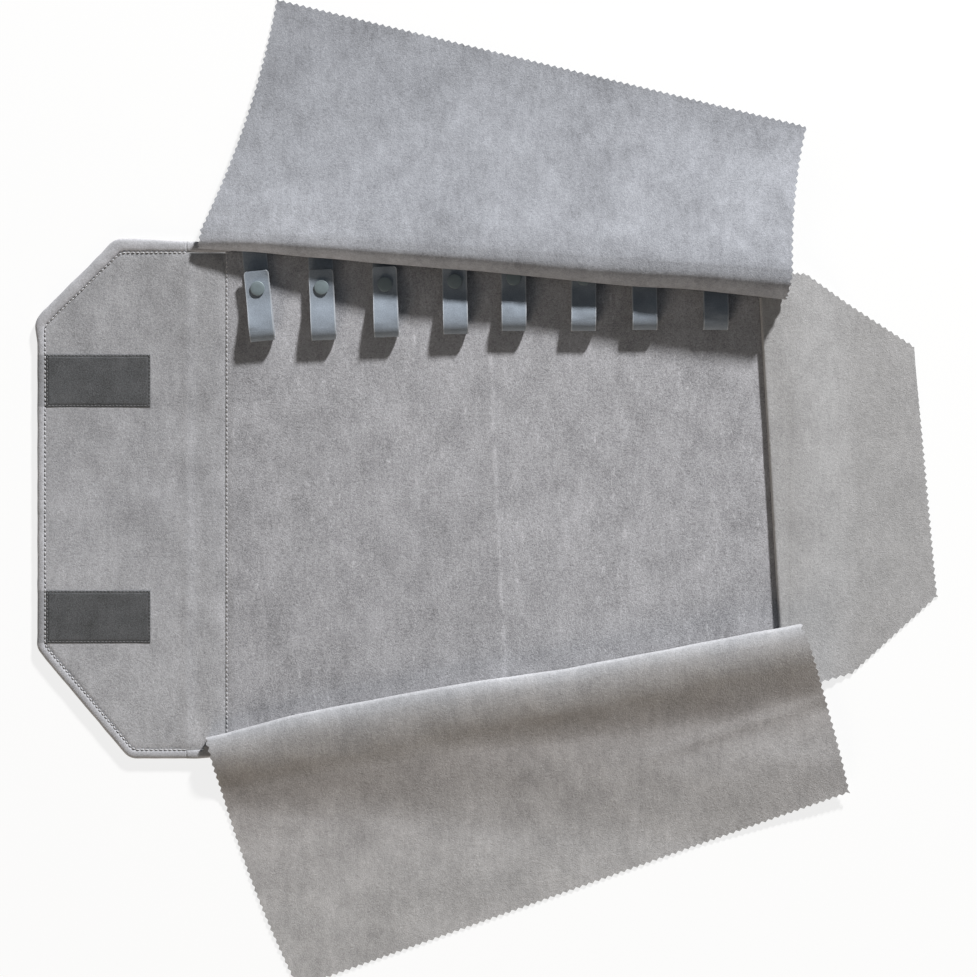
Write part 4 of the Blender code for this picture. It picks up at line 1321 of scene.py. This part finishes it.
class ROLL_OT_flaps(bpy.types.Operator):
    """Make the three loose flaps with their folds and pinked edges"""

    bl_idname = "roll.flaps"
    bl_label = "Loose flaps"

    def execute(self, context):
        sizes = context.scene.roll_sizes
        waves, pitch = sizes.flap_waves, sizes.tooth_pitch
        make_flap("top_flap", top_fold_points(161), top_leaf_points(149, 161, waves),
                  {"far": round(0.400 / pitch), "left": 36, "right": 19.5},
                  finishes["top"], sizes)
        make_flap("bottom_flap", bottom_fold_points(173), bottom_leaf_points(157, 173, waves),
                  {"far": round(0.430 / pitch), "left": 36, "right": 23},
                  finishes["bottom"], sizes)
        make_flap("side_flap", side_fold_points(137), side_leaf_points(121, 137, waves * 0.8),
                  {"far": 34, "left": 30, "right": 30},
                  finishes["side"], sizes)
        return {"FINISHED"}


class ROLL_OT_stage(bpy.types.Operator):
    """Make the pale table, the softbox, the even fill light and the camera straight above"""

    bl_idname = "roll.stage"
    bl_label = "Stage"

    def execute(self, context):
        stage = context.scene.roll_stage
        across, along = lattice(3, 3)
        table_width, table_level = 8.0, -0.0002
        points = stacked((across - 0.5) * table_width, (along - 0.5) * table_width, table_level)
        table = add_piece("table", points, grid_faces(3, 3), self.table_finish())
        middle = np.array((*stage.frame_middle, 0.0))
        self.make_lamp("softbox", middle, stage.lamp_way, stage.lamp_distance, stage.lamp_size,
                       stage.lamp_power, (1.0, 0.995, 0.985))
        bounce_distance = 3.0
        self.make_lamp("bounce_card", middle, stage.bounce_way, bounce_distance, stage.bounce_size,
                       stage.bounce_power, (1.0, 0.86, 0.70))
        world = bpy.data.worlds.new("studio")
        context.scene.world = world
        shop = Shop(world)
        rays, seen = shop.seen_rays()
        colour = shop.blend(seen, (0.93, 0.97, 1.0, 1.0), (1.0, 1.0, 1.0, 1.0))
        light = shop.node("ShaderNodeBackground", {}, {
            "Color": colour, "Strength": rays * (1 - stage.fill) + stage.fill})
        shop.node("ShaderNodeOutputWorld", {}, {"Surface": light})
        view = bpy.data.cameras.new("overhead")
        view.sensor_width = 36.0
        view.lens = view.sensor_width * stage.camera_height / stage.frame_width
        camera = bpy.data.objects.new("overhead", view)
        context.scene.collection.objects.link(camera)
        camera.location = (*stage.frame_middle, stage.camera_height)
        context.scene.camera = camera
        context.scene.view_settings.view_transform = "Standard"
        return {"FINISHED"}

    def make_lamp(self, name, middle, way, distance, size, power, colour):
        """Aim a round lamp at the roll's middle from a distance along a way."""
        lamp = bpy.data.lights.new(name, "AREA")
        lamp.shape = "DISK"
        lamp.size = size
        lamp.energy = power
        lamp.color = colour
        lamp_object = bpy.data.objects.new(name, lamp)
        bpy.context.scene.collection.objects.link(lamp_object)
        aim = Vector(way).normalized()
        lamp_object.location = Vector(middle) + aim * distance
        lamp_object.rotation_euler = aim.to_track_quat("Z", "Y").to_euler()

    def table_finish(self):
        """White table that the camera sees as nearly white, and that keeps the roll's shadow."""
        shop = Shop(bpy.data.materials.new("white_table"))
        _, seen = shop.seen_rays()
        matt = shop.node("ShaderNodeBsdfDiffuse", {}, {"Color": (0.90, 0.90, 0.90, 1.0)})
        glow = shop.node("ShaderNodeEmission", {}, {"Color": (1.0, 1.0, 1.0, 1.0), "Strength": 1.0})
        skin = shop.node("ShaderNodeMixShader", {}, {0: seen * 0.80, 1: matt, 2: glow})
        shop.node("ShaderNodeOutputMaterial", {}, {"Surface": skin})
        return shop.owner


class ROLL_OT_finishes(bpy.types.Operator):
    """Make the cloths', tapes', threads' and snaps' finishes"""

    bl_idname = "roll.finishes"
    bl_label = "Finishes"

    def execute(self, context):
        colours = context.scene.roll_colours
        bottom_start = bottom_slope * bottom_ridge[1][0] - bottom_ridge[1][1]
        finishes.update(
            suede=suede_finish(
                "silver_suede", colours.suede, mottling=1.3, grain=1.15, scuffs=0.16, lay=0.5,
                patches=0.034, tones=(0.0, -1.0, -panel_half, 2 * panel_half, (
                    (0.0, (0.78, 0.78, 0.77)), (0.5, (0.89, 0.89, 0.89)), (1.0, (1.0, 1.0, 0.99))))),
            # The top flap's tones are painted light: a painted highlight up to 1.32 times its colour
            # near the left end of its ridge, where the cloth turns towards the softbox, fading to a
            # little under its colour towards the right and the far edge.
            top=suede_finish(
                "top_suede", colours.top, mottling=1.5, grain=0.95, scuffs=0.16, lay=1.2,
                patches=0.042, tones=(0.55, 1.0, 0.0663, 0.25, greys(
                    (0.0, 1.32), (0.20, 1.22), (0.36, 1.06), (0.50, 0.98), (0.80, 0.95), (1.0, 0.97)))),
            # The bottom flap's tones are painted light and shade: a pale bluish painted highlight along
            # its ridge, then a warm painted shade in the band below it, where the cloth slopes away
            # from the softbox, easing back to its colour towards the far edge.
            bottom=suede_finish(
                "bottom_suede", colours.bottom, mottling=1.2, grain=0.85, scuffs=0.06, lay=0.3,
                patches=0.038, tones=(bottom_slope, -1.0, bottom_start, 0.150, (
                    (0.0, (0.98, 1.01, 1.06)), (0.10, (0.91, 0.91, 0.92)), (0.22, (0.80, 0.77, 0.74)),
                    (0.33, (0.74, 0.71, 0.69)), (0.46, (0.82, 0.80, 0.79)), (0.60, (0.93, 0.92, 0.92)),
                    (1.0, (0.98, 0.98, 0.98))))),
            lining=suede_finish(
                "lining_suede", colours.lining, mottling=1.45, grain=1.45, scuffs=0.58, lay=0.9,
                patches=0.036, tones=(1.0, 0.0, seam_x, 0.20, greys((0.0, 0.92), (1.0, 1.0))),
                crease=(-0.0070, -0.0469)),
            side=suede_finish("side_suede", colours.side, mottling=0.9, grain=0.80, scuffs=0.0, lay=0.2,
                              patches=0.045),
            strap=strap_finish("strap_suede", colours.strap),
            hem=hem_finish("hem_suede", colours.suede),
            hook=tape_finish("hook_tape", colours.hook, hook_strip_x, 0.0),
            loop=tape_finish("loop_tape", colours.loop, loop_strip_x, 0.3),
            thread=thread_finish("grey_thread", colours.thread),
            dark_thread=thread_finish("dark_thread", colours.dark_thread),
            enamel=enamel_finish("snap_enamel", colours.enamel),
            metal=metal_finish("snap_nickel", colours.metal),
            foam=foam_finish("interlining", colours.foam),
        )
        return {"FINISHED"}


class ROLL_PT_panel(bpy.types.Panel):
    """The roll's sizes, colours and building steps"""

    bl_idname = "ROLL_PT_panel"
    bl_label = "Jewelry Roll"
    bl_space_type = "VIEW_3D"
    bl_region_type = "UI"
    bl_category = "Jewelry Roll"

    def draw(self, context):
        scene = context.scene
        for label, group in (("Colours", scene.roll_colours), ("Sizes", scene.roll_sizes),
                             ("Stage", scene.roll_stage)):
            box = self.layout.box()
            box.label(text=label)
            for name in group.__annotations__:
                box.prop(group, name)
        for step in steps:
            self.layout.operator(step.bl_idname)


groups = (RollColours, RollSizes, RollStage)
steps = (ROLL_OT_finishes, ROLL_OT_panel, ROLL_OT_end_flap, ROLL_OT_strips, ROLL_OT_straps,
         ROLL_OT_flaps, ROLL_OT_stage)


def register():
    for group in (*groups, *steps, ROLL_PT_panel):
        bpy.utils.register_class(group)
    bpy.types.Scene.roll_colours = PointerProperty(type=RollColours)
    bpy.types.Scene.roll_sizes = PointerProperty(type=RollSizes)
    bpy.types.Scene.roll_stage = PointerProperty(type=RollStage)


def unregister():
    del bpy.types.Scene.roll_stage
    del bpy.types.Scene.roll_sizes
    del bpy.types.Scene.roll_colours
    for group in reversed((*groups, *steps, ROLL_PT_panel)):
        bpy.utils.unregister_class(group)


def main():
    """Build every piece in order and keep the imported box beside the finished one."""
    register()
    bpy.ops.roll.finishes()
    bpy.ops.roll.panel()
    bpy.ops.roll.end_flap()
    bpy.ops.roll.strips()
    bpy.ops.roll.straps()
    bpy.ops.roll.flaps()
    bpy.ops.roll.stage()


if __name__ == "__main__":
    main()
